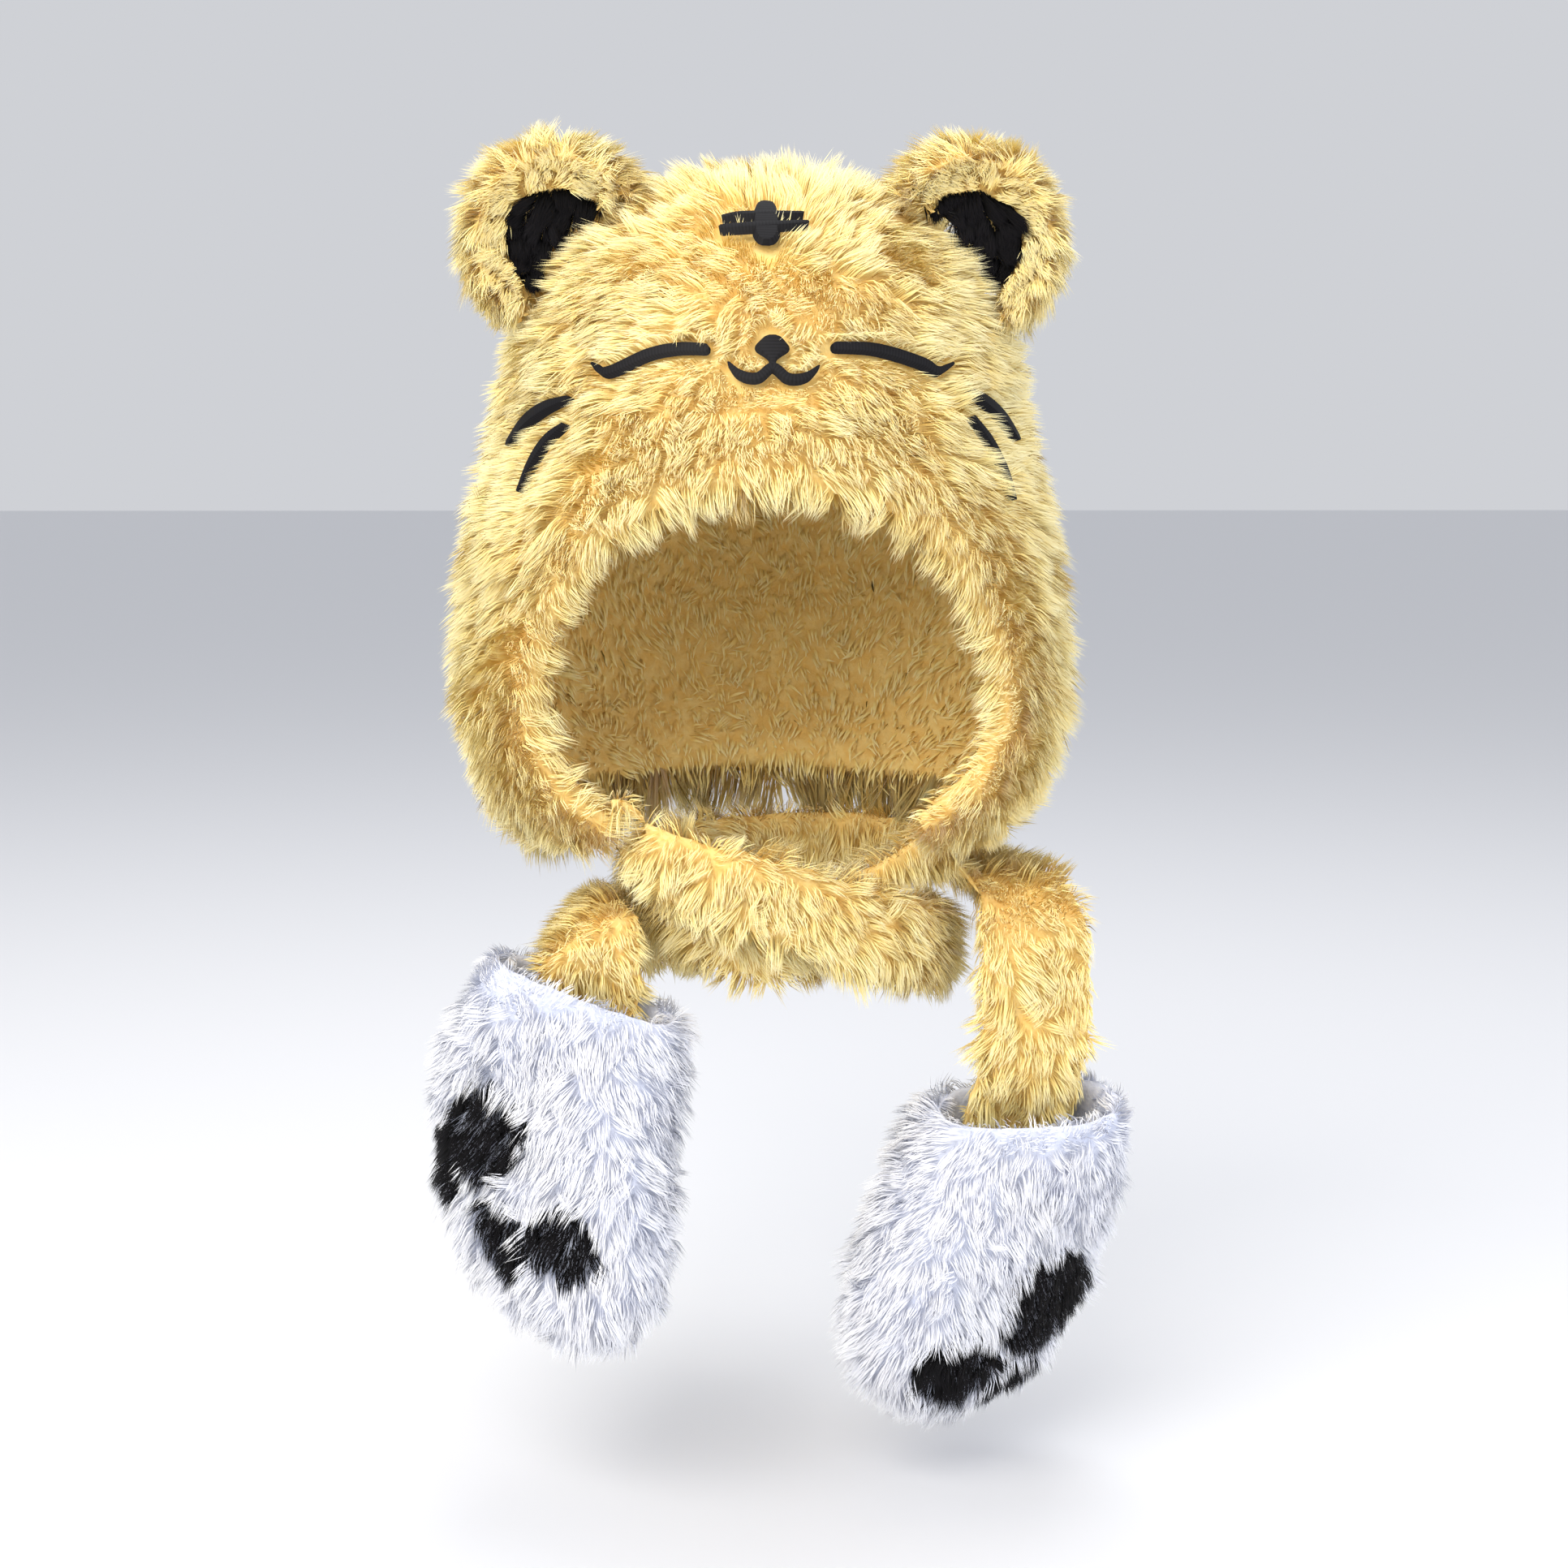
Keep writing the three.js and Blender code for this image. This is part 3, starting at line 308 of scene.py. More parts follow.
@dataclass
class Skin:
    """The smooth ground of a plush body, taken in from a node's faceted surface.

    Attributes:
        node: The solid that it replaces.
        grain: Size of its faces, in millimetres.
        sunk: How far it lies under the solid's surface, in millimetres.
        smoothing: Rounds of smoothing that take the facets out.
    """

    node: str
    grain: float
    sunk: float
    smoothing: int = 10
    places: np.ndarray = field(init=False, default=None)
    normals: np.ndarray = field(init=False, default=None)
    faces: np.ndarray = field(init=False, default=None)
    tree: BVHTree = field(init=False, default=None)
    low: np.ndarray = field(init=False, default=None)
    high: np.ndarray = field(init=False, default=None)

    def build(self, name: str, material: bpy.types.Material, cloth: Cloth) -> bpy.types.Object:
        """Makes the ground, replaces the solid with it and keeps its surface for the pile.

        Args:
            name: The piece's name.
            material: The ground's material.
            cloth: The record's slot; not used.

        Returns:
            The ground as a padded piece.
        """
        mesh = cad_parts[self.node].data.copy()
        piece = bpy.data.objects.new("draft", mesh)
        bpy.context.scene.collection.objects.link(piece)
        remesh = piece.modifiers.new("remesh", "REMESH")
        remesh.mode = "VOXEL"
        remesh.voxel_size = self.grain * MM
        smooth = piece.modifiers.new("smooth", "SMOOTH")
        smooth.factor = 0.5
        smooth.iterations = self.smoothing
        sink = piece.modifiers.new("sink", "DISPLACE")
        sink.mid_level = 0.0
        sink.strength = -self.sunk * MM
        settle = piece.modifiers.new("settle", "SMOOTH")
        settle.factor = 0.4
        settle.iterations = 3
        graph = bpy.context.evaluated_depsgraph_get()
        ground = bpy.data.meshes.new_from_object(piece.evaluated_get(graph))
        bpy.data.objects.remove(piece)
        bpy.data.meshes.remove(mesh)
        ground.name = name
        count = len(ground.vertices)
        self.places = np.empty(count * 3)
        ground.vertices.foreach_get("co", self.places)
        self.places = self.places.reshape(-1, 3)
        self.normals = np.empty(count * 3)
        ground.vertices.foreach_get("normal", self.normals)
        self.normals = self.normals.reshape(-1, 3)
        ground.calc_loop_triangles()
        self.faces = np.empty(len(ground.loop_triangles) * 3, dtype=np.int32)
        ground.loop_triangles.foreach_get("vertices", self.faces)
        self.faces = self.faces.reshape(-1, 3)
        self.tree = tree_of(self.node)
        self.low, self.high = (np.array(corner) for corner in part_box(self.node))
        result = new_piece(name, ground, material)
        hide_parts(self.node)
        return result

    def axis(self, places: np.ndarray) -> np.ndarray:
        """The middle of the body at the height of each place, level by level."""
        levels = np.linspace(self.places[:, 2].min(), self.places[:, 2].max(), 14)
        slab = (levels[1] - levels[0]) * 0.8
        middles = []
        for level in levels:
            near = self.places[np.abs(self.places[:, 2] - level) < slab]
            middles.append((near.min(axis=0) + near.max(axis=0)) / 2)
        middles = np.array(middles)
        return np.stack([np.interp(places[:, 2], levels, middles[:, k]) for k in (0, 1)] + [places[:, 2]], axis=1)

    def scatter(self, count: int, rng: np.random.Generator) -> tuple[np.ndarray, np.ndarray]:
        """Spreads roots evenly over the ground.

        Args:
            count: How many.
            rng: The random numbers.

        Returns:
            Places and outward normals.
        """
        corners = self.places[self.faces]
        spans = np.linalg.norm(np.cross(corners[:, 1] - corners[:, 0], corners[:, 2] - corners[:, 0]), axis=1)
        total = np.cumsum(spans)
        picks = np.searchsorted(total, (np.arange(count) + rng.random(count)) / count * total[-1])
        picks = np.minimum(picks, len(spans) - 1)
        a, b = rng.random((2, count, 1))
        a, b = np.where(a + b > 1, 1 - a, a), np.where(a + b > 1, 1 - b, b)
        shares = [1 - a - b, a, b]
        roots = sum(share * corners[picks, k] for k, share in enumerate(shares))
        normals = sum(share * self.normals[self.faces[picks, k]] for k, share in enumerate(shares))
        return roots, unit(normals)

    def holds(self, place: np.ndarray) -> bool:
        """Whether a place lies inside the solid, by how often a level ray leaves it."""
        if (place < self.low).any() or (place > self.high).any():
            return False
        start, ahead, crossings = Vector(place), Vector((0.83, 0.55, 0.07)), 0
        while crossings < 12:
            spot = self.tree.ray_cast(start, ahead)[0]
            if spot is None:
                break
            crossings += 1
            start = spot + ahead * 0.01 * MM
        return crossings % 2 == 1


@dataclass
class Coat:
    """One coat of pile: its fibres stand in locks, whose tips are drawn together.

    Attributes:
        name: The piece's name.
        strands: How many fibres the mesh draws, each for a pencil of real ones.
        length: Of a fibre, in millimetres.
        lock: Spacing of the locks, in millimetres.
        width: Of a drawn fibre at its middle, in millimetres.
        lean: Angles from upright at the root and the tip, in degrees.
        gather: How far the fibres of a lock are drawn to its tip.
        stray: How far the locks stray from the nap.
        depth: The mean tone, from 0 for pale to 1 for deep.
    """

    name: str
    strands: int
    length: float
    lock: float = 7.5
    width: float = 0.5
    lean: tuple[float, float] = (10.0, 62.0)
    gather: float = 0.42
    stray: float = 0.95
    depth: float = 0.36
    seed: int = 1

    COLUMNS = 64  # tones that the colour map tells apart

    def grow(
        self,
        roots: np.ndarray,
        normals: np.ndarray,
        nap: Field,
        trim: Field | None,
        material: bpy.types.Material,
        cloth: Cloth,
        hidden: Callable[[np.ndarray], np.ndarray] | None = None,
        steer: Callable | None = None,
    ) -> bpy.types.Object:
        """Grows the coat as tapered curved blades.

        Args:
            roots: Where the fibres stand.
            normals: The ground's normals there.
            nap: The way that the pile is brushed, for places and normals.
            trim: A share of the length, for places and normals.
            material: The pile's material.
            cloth: The record's slot.
            hidden: Tells which probe places are buried in a neighbour.
            steer: Turns the fibres' ways and tells how upright each one stands.

        Returns:
            The coat as one piece.
        """
        rng = np.random.default_rng(self.seed)
        order = rng.permutation(len(roots))
        area_share = len(roots) * (self.spacing(roots) / (self.lock * MM)) ** 2
        heads = order[: max(int(area_share), 12)]
        centre, up = roots[heads], normals[heads]
        if hidden is not None:
            keep = ~hidden(centre + up * 9 * MM)
        else:
            keep = np.ones(len(heads), dtype=bool)
        finder = KDTree(len(heads))
        for k, place in enumerate(centre):
            finder.insert(place, k)
        finder.balance()
        owner = np.array([finder.find(place)[1] for place in roots])
        shown = keep[owner]
        if trim is not None:
            share = trim(roots, normals)
            shown &= share > 0.08
        else:
            share = np.ones(len(roots))
        chosen = np.flatnonzero(shown)
        if len(chosen) > self.strands:
            chosen = np.sort(rng.permutation(chosen)[: self.strands])
        roots, normals, owner, share = roots[chosen], normals[chosen], owner[chosen], share[chosen]
        count = len(roots)

        way = unit(nap(centre, up)) + self.stray * swirl(centre, 38, self.seed)
        way += 0.35 * self.stray * rng.normal(size=way.shape)
        way = tangent(way, up)
        tilt = rng.normal(0, 9, len(heads)) + 16 * swirl(centre, 22, self.seed + 5)[:, 0]
        long = 1 + 0.16 * rng.normal(size=len(heads)) + 0.25 * swirl(centre, 26, self.seed + 9)[:, 1]
        hue = self.depth + 0.5 * swirl(centre, 20, self.seed + 2)[:, 2] + 0.13 * rng.normal(size=len(heads))

        strand_way = tangent(way[owner] + 0.22 * rng.normal(size=(count, 3)), normals)
        stand = np.zeros(count)
        if steer is not None:
            strand_way, stand = steer(roots, normals, strand_way)
            share = share * (1 - 0.36 * stand)
        length = self.length * MM * share * np.clip(long[owner] * rng.uniform(0.72, 1.08, count), 0.4, 1.5)
        first = self.lean[0] + tilt[owner] + rng.normal(0, 7, count)
        last = self.lean[1] + tilt[owner] + rng.normal(0, 9, count)
        first = np.radians(np.clip(first * (1 - stand) + 4 * stand, 0, 80))
        last = np.radians(np.clip(last * (1 - stand) + 26 * stand, 22, 105))
        last = np.maximum(last, first + 0.1)
        centre_share = np.ones(len(heads)) if trim is None else np.maximum(trim(centre, up), 0.1)
        span = np.radians(np.array(self.lean))
        head_reach = self.arc(1.0, np.full(len(heads), span[0]), np.full(len(heads), span[1]))
        head_tip = centre + (
            up * head_reach[0][:, None] + way * head_reach[1][:, None]
        ) * (self.length * MM * long * centre_share)[:, None]

        steps = (0.0, 0.5, 1.0)
        line = []
        for s in steps:
            rise, run = self.arc(s, first, last)
            line.append(roots + (normals * rise[:, None] + strand_way * run[:, None]) * length[:, None])
        pull = self.gather * (head_tip[owner] + 0.3 * (roots - centre[owner]) - line[2])
        close = (np.clip(length / (self.length * MM), 0, 1) * (1 - stand) ** 2)[:, None]
        for k, s in enumerate(steps):
            line[k] = line[k] + pull * close * s**1.6
        thick = self.width * MM * rng.uniform(0.65, 1.25, count)
        turn = rng.normal(0, 0.55, count)[:, None]
        places = np.empty((count, 5, 3))
        facing = np.empty((count, 5, 3))
        for k, broad in enumerate((0.7, 1.0, 0.0)):
            ahead = unit(line[min(k + 1, 2)] - line[max(k - 1, 0)])
            flat = unit(np.cross(ahead, normals))
            over = np.cross(flat, ahead)
            side = flat * np.cos(turn) + over * np.sin(turn)
            outward = np.cross(side, ahead)
            outward *= np.sign(np.sum(outward * normals, axis=1, keepdims=True) + 1e-9)
            bent = unit(normals * 0.75 + outward * 0.35 + ahead * 0.15)
            if k == 2:
                places[:, 4] = line[2]
                facing[:, 4] = bent
            else:
                half = side * (thick * broad / 2)[:, None]
                places[:, 2 * k] = line[k] - half
                places[:, 2 * k + 1] = line[k] + half
                facing[:, 2 * k] = facing[:, 2 * k + 1] = bent
        tone = np.clip(hue[owner] + rng.normal(0, 0.22, count), 0, 1)
        LOG.info("%s: %d fibres in %d locks", self.name, count, len(heads))
        return self.mesh(places, facing, tone, material, cloth)

    @staticmethod
    def spacing(roots: np.ndarray) -> float:
        """The mean spacing of scattered roots, from the nearest of a few of them."""
        sample = roots[:: max(1, len(roots) // 400)]
        finder = KDTree(len(roots))
        for k, place in enumerate(roots):
            finder.insert(place, k)
        finder.balance()
        gaps = [finder.find_n(place, 9)[-1][2] for place in sample]
        return float(np.mean(gaps)) * math.sqrt(math.pi / 8.5)

    @staticmethod
    def arc(s: float, first: np.ndarray, last: np.ndarray) -> tuple[np.ndarray, np.ndarray]:
        """How far a fibre has risen and run at a share of its length, as it leans from first to last."""
        end = first + (last - first) * s
        bend = last - first
        return (np.sin(end) - np.sin(first)) / bend, (np.cos(first) - np.cos(end)) / bend

    def mesh(
        self,
        places: np.ndarray,
        facing: np.ndarray,
        tone: np.ndarray,
        material: bpy.types.Material,
        cloth: Cloth,
    ) -> bpy.types.Object:
        """Builds the blades' mesh with its tones, its colour map and its soft normals.

        Args:
            places: Five corners for each blade, root pair first.
            facing: The normal at each corner.
            tone: The tone of each blade.
            material: The pile's material.
            cloth: The record's slot; not used.

        Returns:
            The new piece.
        """
        count = len(places)
        mesh = bpy.data.meshes.new(self.name)
        mesh.vertices.add(count * 5)
        mesh.vertices.foreach_set("co", places.reshape(-1))
        pattern = np.array([0, 1, 3, 2, 2, 3, 4])
        corners = (np.arange(count)[:, None] * 5 + pattern).reshape(-1)
        mesh.loops.add(count * 7)
        mesh.loops.foreach_set("vertex_index", corners.astype(np.int32))
        mesh.polygons.add(count * 2)
        starts = (np.arange(count)[:, None] * 7 + np.array([0, 4])).reshape(-1)
        mesh.polygons.foreach_set("loop_start", starts.astype(np.int32))
        mesh.update(calc_edges=True)
        column = np.floor(np.clip(tone, 0, 0.999) * self.COLUMNS)
        tone = (column + 0.5) / self.COLUMNS
        along = np.tile(np.array([0.0, 0.0, 0.5, 0.5, 1.0]), count)
        for name, values in (("tone", np.repeat(tone, 5)), ("along", along)):
            layer = mesh.attributes.new(name, "FLOAT", "POINT")
            layer.data.foreach_set("value", values.astype(np.float32))
        across = np.array([0.2, 0.8, 0.2, 0.8, 0.5])
        u = (column[:, None] + across) / self.COLUMNS
        v = np.tile(np.array([0.01, 0.01, 0.5, 0.5, 0.99]), (count, 1))
        chart = np.stack([u.reshape(-1), v.reshape(-1)], axis=1)[corners]
        mesh.uv_layers.new(name="OFBake").data.foreach_set("uv", chart.reshape(-1).astype(np.float32))
        piece = new_piece(self.name, mesh, material)
        mesh.normals_split_custom_set_from_vertices(facing.reshape(-1, 3))
        return piece


def buried_in(skins: list[Skin]) -> Callable[[np.ndarray], np.ndarray]:
    """A test of which places lie inside any of the given bodies."""

    def test(places: np.ndarray) -> np.ndarray:
        """True for each place inside a body."""
        return np.array([any(skin.holds(place) for skin in skins) for place in places])

    return test


def ground_of(cloth: Cloth) -> BackingFinish:
    """The knitted ground under each colour of pile."""
    return {
        Cloth.YELLOW: BackingFinish("plush_ground_yellow", "#f8de96", "#f1cb7a"),
        Cloth.WHITE: BackingFinish("plush_ground_white", "#e0e4f1", "#ccd2e4"),
        Cloth.BLACK: BackingFinish("plush_ground_black", "#0a090b", "#040404"),
    }[cloth]


# Each root colour below is darkened with painted shade of the pile's crevices.
YELLOW_PILE = PileFinish(
    "polyester_plush_yellow",
    pale=("#f9dc88", "#fdeda6", "#fff7cc"),
    deep=("#f3c96c", "#fbdf8b", "#fdeeae"),
)
WHITE_PILE = PileFinish(
    "polyester_plush_white",
    pale=("#e6e9f4", "#f7f8fd", "#ffffff"),
    deep=("#d0d5e6", "#eaedf7", "#fafbff"),
)
BLACK_PILE = PileFinish(
    "polyester_plush_black",
    pale=("#050505", "#0c0b0d", "#1c1a1e"),
    deep=("#030303", "#070607", "#0d0c0e"),
    sheen=0.1,
)


@dataclass
class HoodForm:
    """The hood's outer form, as the solid has it: sizes in millimetres, a profile by angle."""

    height: float = 363
    half_width: float = 161
    front: float = 156
    back: float = 139
    wall: float = 20
    # Polar angle, drop, side, front and back, as shares of the sizes above.
    profile: np.ndarray = field(
        default_factory=lambda: np.array(
            [
                (0, 0, 0, 0, 0),
                (15, 0.012, 0.3, 0.29, 0.35),
                (30, 0.06, 0.57, 0.55, 0.67),
                (45, 0.165, 0.755, 0.745, 0.87),
                (60, 0.287, 0.825, 0.85, 0.96),
                (75, 0.394, 0.88, 0.94, 1),
                (90, 0.501, 0.94, 1, 1),
                (105, 0.617, 0.98, 1, 0.965),
                (120, 0.755, 1, 0.965, 0.89),
                (135, 0.893, 0.9, 0.85, 0.78),
                (150, 0.975, 0.68, 0.68, 0.67),
                (165, 1, 0.42, 0.42, 0.5),
            ]
        )
    )

    def place(self, azimuth: float, polar: float) -> np.ndarray:
        """A point of the outer form, in metres, at angles from the front and from straight up."""
        drop, side, front, back = hermite(self.profile, polar)
        a = math.radians(azimuth)
        reach = front * self.front if math.cos(a) > 0 else back * self.back
        return np.array([math.sin(a) * side * self.half_width, -math.cos(a) * reach, self.wall - drop * self.height]) * MM

    def normal(self, azimuth: float, polar: float) -> np.ndarray:
        """The outward normal of the outer form."""
        across = self.place(azimuth + 1, polar) - self.place(azimuth - 1, polar)
        along = self.place(azimuth, polar + 1) - self.place(azimuth, polar - 1)
        normal = np.cross(along, across)
        return normal / np.linalg.norm(normal)


def hermite(table: np.ndarray, value: float) -> np.ndarray:
    """A table's other columns at a value of its first, on a smooth curve through its rows."""
    keys = table[:, 0]
    value = min(max(value, keys[0]), keys[-1])
    i = min(int(np.searchsorted(keys, value, side="right")) - 1, len(table) - 2)
    start, end = table[i], table[i + 1]
    span = end[0] - start[0]
    t = (value - start[0]) / span
    step = (end - start) / span
    before = (end - table[i - 1]) / (end[0] - table[i - 1][0]) if i > 0 else step
    after = (table[i + 2] - start) / (table[i + 2][0] - start[0]) if i + 2 < len(table) else step
    row = start * (1 + t * t * (2 * t - 3)) + end * t * t * (3 - 2 * t)
    row = row + before * span * t * (1 - t) ** 2 + after * span * t * t * (t - 1)
    return row[1:]


@dataclass
class Embroidery:
    """The satin-stitched face: closed eyes, nose and mouth, a forehead mark and cheek stripes.

    Attributes:
        width: The width that the half widths in the table are shares of, in millimetres.
        lift: How far the ground of a stroke lies over the hood's form, in millimetres.
        crown: How high a stroke is filled, in millimetres.
        stitch: Spacing of the stitches, drawn at twice a real thread so that it shows.
        parting: How far from a stroke the pile starts to stand up, in millimetres.
    """

    form: HoodForm
    width: float = 5.6
    lift: float = 2.4
    crown: float = 0.15
    stitch: float = 0.8
    parting: float = 10.0
    # Each piece's strokes, as rows of azimuth, polar angle and half width.
    strokes: dict[str, list[list[tuple[float, float, float]]]] = field(
        default_factory=lambda: {
            "eye_left": [
                [(-40.5, 58.8, 0.16), (-36.2, 60.3, 0.46), (-26.7, 57.5, 0.5), (-19.6, 56.6, 0.52), (-13.2, 56.8, 0.46)],
            ],
            "eye_right": [
                [(12.6, 56.4, 0.46), (22.5, 56.6, 0.52), (33.7, 58.6, 0.5), (37.8, 60, 0.44), (42.8, 58.6, 0.16)],
            ],
            "nose_mouth": [
                [
                    (0, 54.8, 1.05),
                    (0, 55.3, 1.5),
                    (0, 56.2, 1.65),
                    (0, 57.1, 1.35),
                    (0, 57.9, 0.7),
                    (0, 58.7, 0.3),
                    (0, 60.2, 0.3),
                ],
                [
                    (-9.2, 59.2, 0.14),
                    (-6.6, 61.2, 0.38),
                    (-3.2, 61.7, 0.42),
                    (0, 59.9, 0.4),
                    (3.2, 61.8, 0.42),
                    (6.6, 61.6, 0.38),
                    (9.6, 59.8, 0.14),
                ],
            ],
            "forehead_mark": [
                [(-0.4, 30.6, 1.05), (-0.8, 32.4, 1.2), (-0.8, 36.6, 1.2), (-1, 38.8, 0.95)],
                [(-13, 34.2, 0.18), (-7, 33.5, 0.24), (9.8, 33.3, 0.16)],
                [(-13.2, 36.4, 0.3), (-3, 35.9, 0.34), (10.6, 35.3, 0.22)],
            ],
            "cheek_stripe_left_upper": [
                [(-67.2, 73.6, 0.4), (-60.7, 69.1, 0.64), (-53.5, 66.4, 0.56), (-45.7, 64.9, 0.24)],
            ],
            "cheek_stripe_left_lower": [
                [(-57, 82.8, 0.22), (-54.7, 77.1, 0.44), (-50.9, 72.8, 0.46), (-45.8, 69.9, 0.2)],
            ],
            "cheek_stripe_right_upper": [
                [(46.8, 63.3, 0.24), (53, 65.2, 0.56), (59.6, 68.2, 0.6), (66, 72.4, 0.36)],
            ],
            "cheek_stripe_right_lower": [
                [(46.2, 68.3, 0.2), (51.2, 73.1, 0.46), (54.7, 78.6, 0.44), (55.8, 84.4, 0.2)],
            ],
        }
    )
    spots: list[tuple[np.ndarray, float]] = field(init=False, default_factory=list)
    finder: KDTree = field(init=False, default=None)

    def rows(self, stroke: list[tuple[float, float, float]]) -> list[tuple[np.ndarray, np.ndarray, float]]:
        """Evenly spaced stitches along a stroke.

        Args:
            stroke: Its rows of angles and half widths.

        Returns:
            Place, normal and half width in metres of each stitch.
        """
        table = np.array([(k, *row) for k, row in enumerate(stroke)], dtype=float)
        keys = np.linspace(0, len(stroke) - 1, 40 * (len(stroke) - 1) + 1)
        fine = np.array([hermite(table, key) for key in keys])
        line = np.array([self.form.place(a, p) for a, p, _ in fine])
        gone = np.concatenate([[0], np.cumsum(np.linalg.norm(np.diff(line, axis=0), axis=1))])
        count = max(4, round(gone[-1] / (self.stitch * MM)))
        at = np.interp(np.linspace(0, gone[-1], count), gone, keys)
        result = []
        for key in at:
            azimuth, polar, half = hermite(table, key)
            half = max(half, 0.06) * self.width * MM
            result.append((self.form.place(azimuth, polar), self.form.normal(azimuth, polar), half))
        return result

    def build(self, material: bpy.types.Material) -> None:
        """Makes each embroidered piece and notes where its stitches lie for the pile.

        Args:
            material: The thread's material.
        """
        for name, strokes in self.strokes.items():
            corners: list[np.ndarray] = []
            facing: list[np.ndarray] = []
            crown_and_valley_shade: list[float] = []
            quads: list[tuple[int, ...]] = []
            for order, stroke in enumerate(strokes):
                rows = self.rows(stroke)
                first = len(corners)
                sides = 9
                for k, (place, normal, half) in enumerate(rows):
                    ahead = rows[min(k + 1, len(rows) - 1)][0] - rows[max(k - 1, 0)][0]
                    across = np.cross(ahead, normal)
                    across /= np.linalg.norm(across)
                    self.spots.append((place, half))
                    ridge = 0.05 * MM * (1 if k % 2 else -1)
                    ends = math.sqrt(max(0.0, 1 - max(0.0, 1 - min(k, len(rows) - 1 - k) * self.stitch * MM / half) ** 2))
                    spread = half * (0.35 + 0.65 * ends)
                    for j in range(sides):
                        share = 2 * j / (sides - 1) - 1
                        rise = (self.lift + (self.crown + order * 0.1) * (1 - share**4)) * MM + ridge
                        if j in (0, sides - 1):
                            rise = -2.5 * MM
                        corners.append(place + across * share * (spread + 0.5 * ridge) + normal * rise)
                        facing.append(normal + across * 0.12 * share)
                        # Every other row of stitches takes the painted shade of the valleys between crowns; the edge
                        # corners lie halfway.
                        crown_and_valley_shade.append(0.5 + 0.5 * (1 if k % 2 else -1) * (j not in (0, sides - 1)))
                for k in range(len(rows) - 1):
                    for j in range(sides - 1):
                        a = first + k * sides + j
                        quads.append((a, a + 1, a + sides + 1, a + sides))
                last = first + (len(rows) - 1) * sides
                quads.append(tuple(range(first + sides - 1, first - 1, -1)))
                quads.append(tuple(range(last, last + sides)))
            mesh = bpy.data.meshes.new(name)
            mesh.from_pydata([tuple(c) for c in corners], [], quads)
            mesh.update()
            layer = mesh.attributes.new("along", "FLOAT", "POINT")
            layer.data.foreach_set("value", np.array(crown_and_valley_shade, dtype=np.float32))
            piece = new_piece(f"{name}_stitches", mesh, material)
            mesh.normals_split_custom_set_from_vertices(unit(np.array(facing)))
            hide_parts(name)
            LOG.info("%s: %d stitches", name, len(corners) // 9)
        self.finder = KDTree(len(self.spots))
        for k, (place, _) in enumerate(self.spots):
            self.finder.insert(place, k)
        self.finder.balance()

    def room(self, roots: np.ndarray, normals: np.ndarray) -> tuple[np.ndarray, np.ndarray]:
        """Where the nearest stitch lies, along the ground.

        Args:
            roots: Where the fibres stand.
            normals: The ground's normals there.

        Returns:
            The way to the stitch and the distance to its edge in metres, for each root.
        """
        toward = np.empty_like(roots)
        half = np.empty(len(roots))
        for k, root in enumerate(roots):
            spot, index, _ = self.finder.find(root)
            toward[k] = np.array(spot) - root
            half[k] = self.spots[index][1]
        toward -= normals * np.sum(toward * normals, axis=1, keepdims=True)
        flat = np.linalg.norm(toward, axis=1)
        return toward / np.maximum(flat, 1e-9)[:, None], flat - half

    def clear(self, roots: np.ndarray, normals: np.ndarray) -> np.ndarray:
        """0 for the roots that the stitches hold down, 1 for the others."""
        return (self.room(roots, normals)[1] > 1.1 * MM).astype(float)

    def part(self, roots: np.ndarray, normals: np.ndarray, ways: np.ndarray) -> tuple[np.ndarray, np.ndarray]:
        """Stands the pile up beside a stroke, so that it borders the stitches without lying over them.

        Args:
            roots: Where the fibres stand.
            normals: The ground's normals there.
            ways: The way that each leans.

        Returns:
            The turned ways and how upright each fibre stands, from 0 to 1.
        """
        toward, room = self.room(roots, normals)
        stand = np.clip(1 - room / (self.parting * MM), 0, 1)
        near = np.clip(1 - room / (0.4 * self.parting * MM), 0, 1)[:, None]
        heading = np.maximum(np.sum(toward * ways, axis=1), 0) * np.minimum(1, 1.8 * stand)
        turned = unit(ways - toward * heading[:, None])
        return tangent(turned * (1 - near) - toward * near, normals), stand


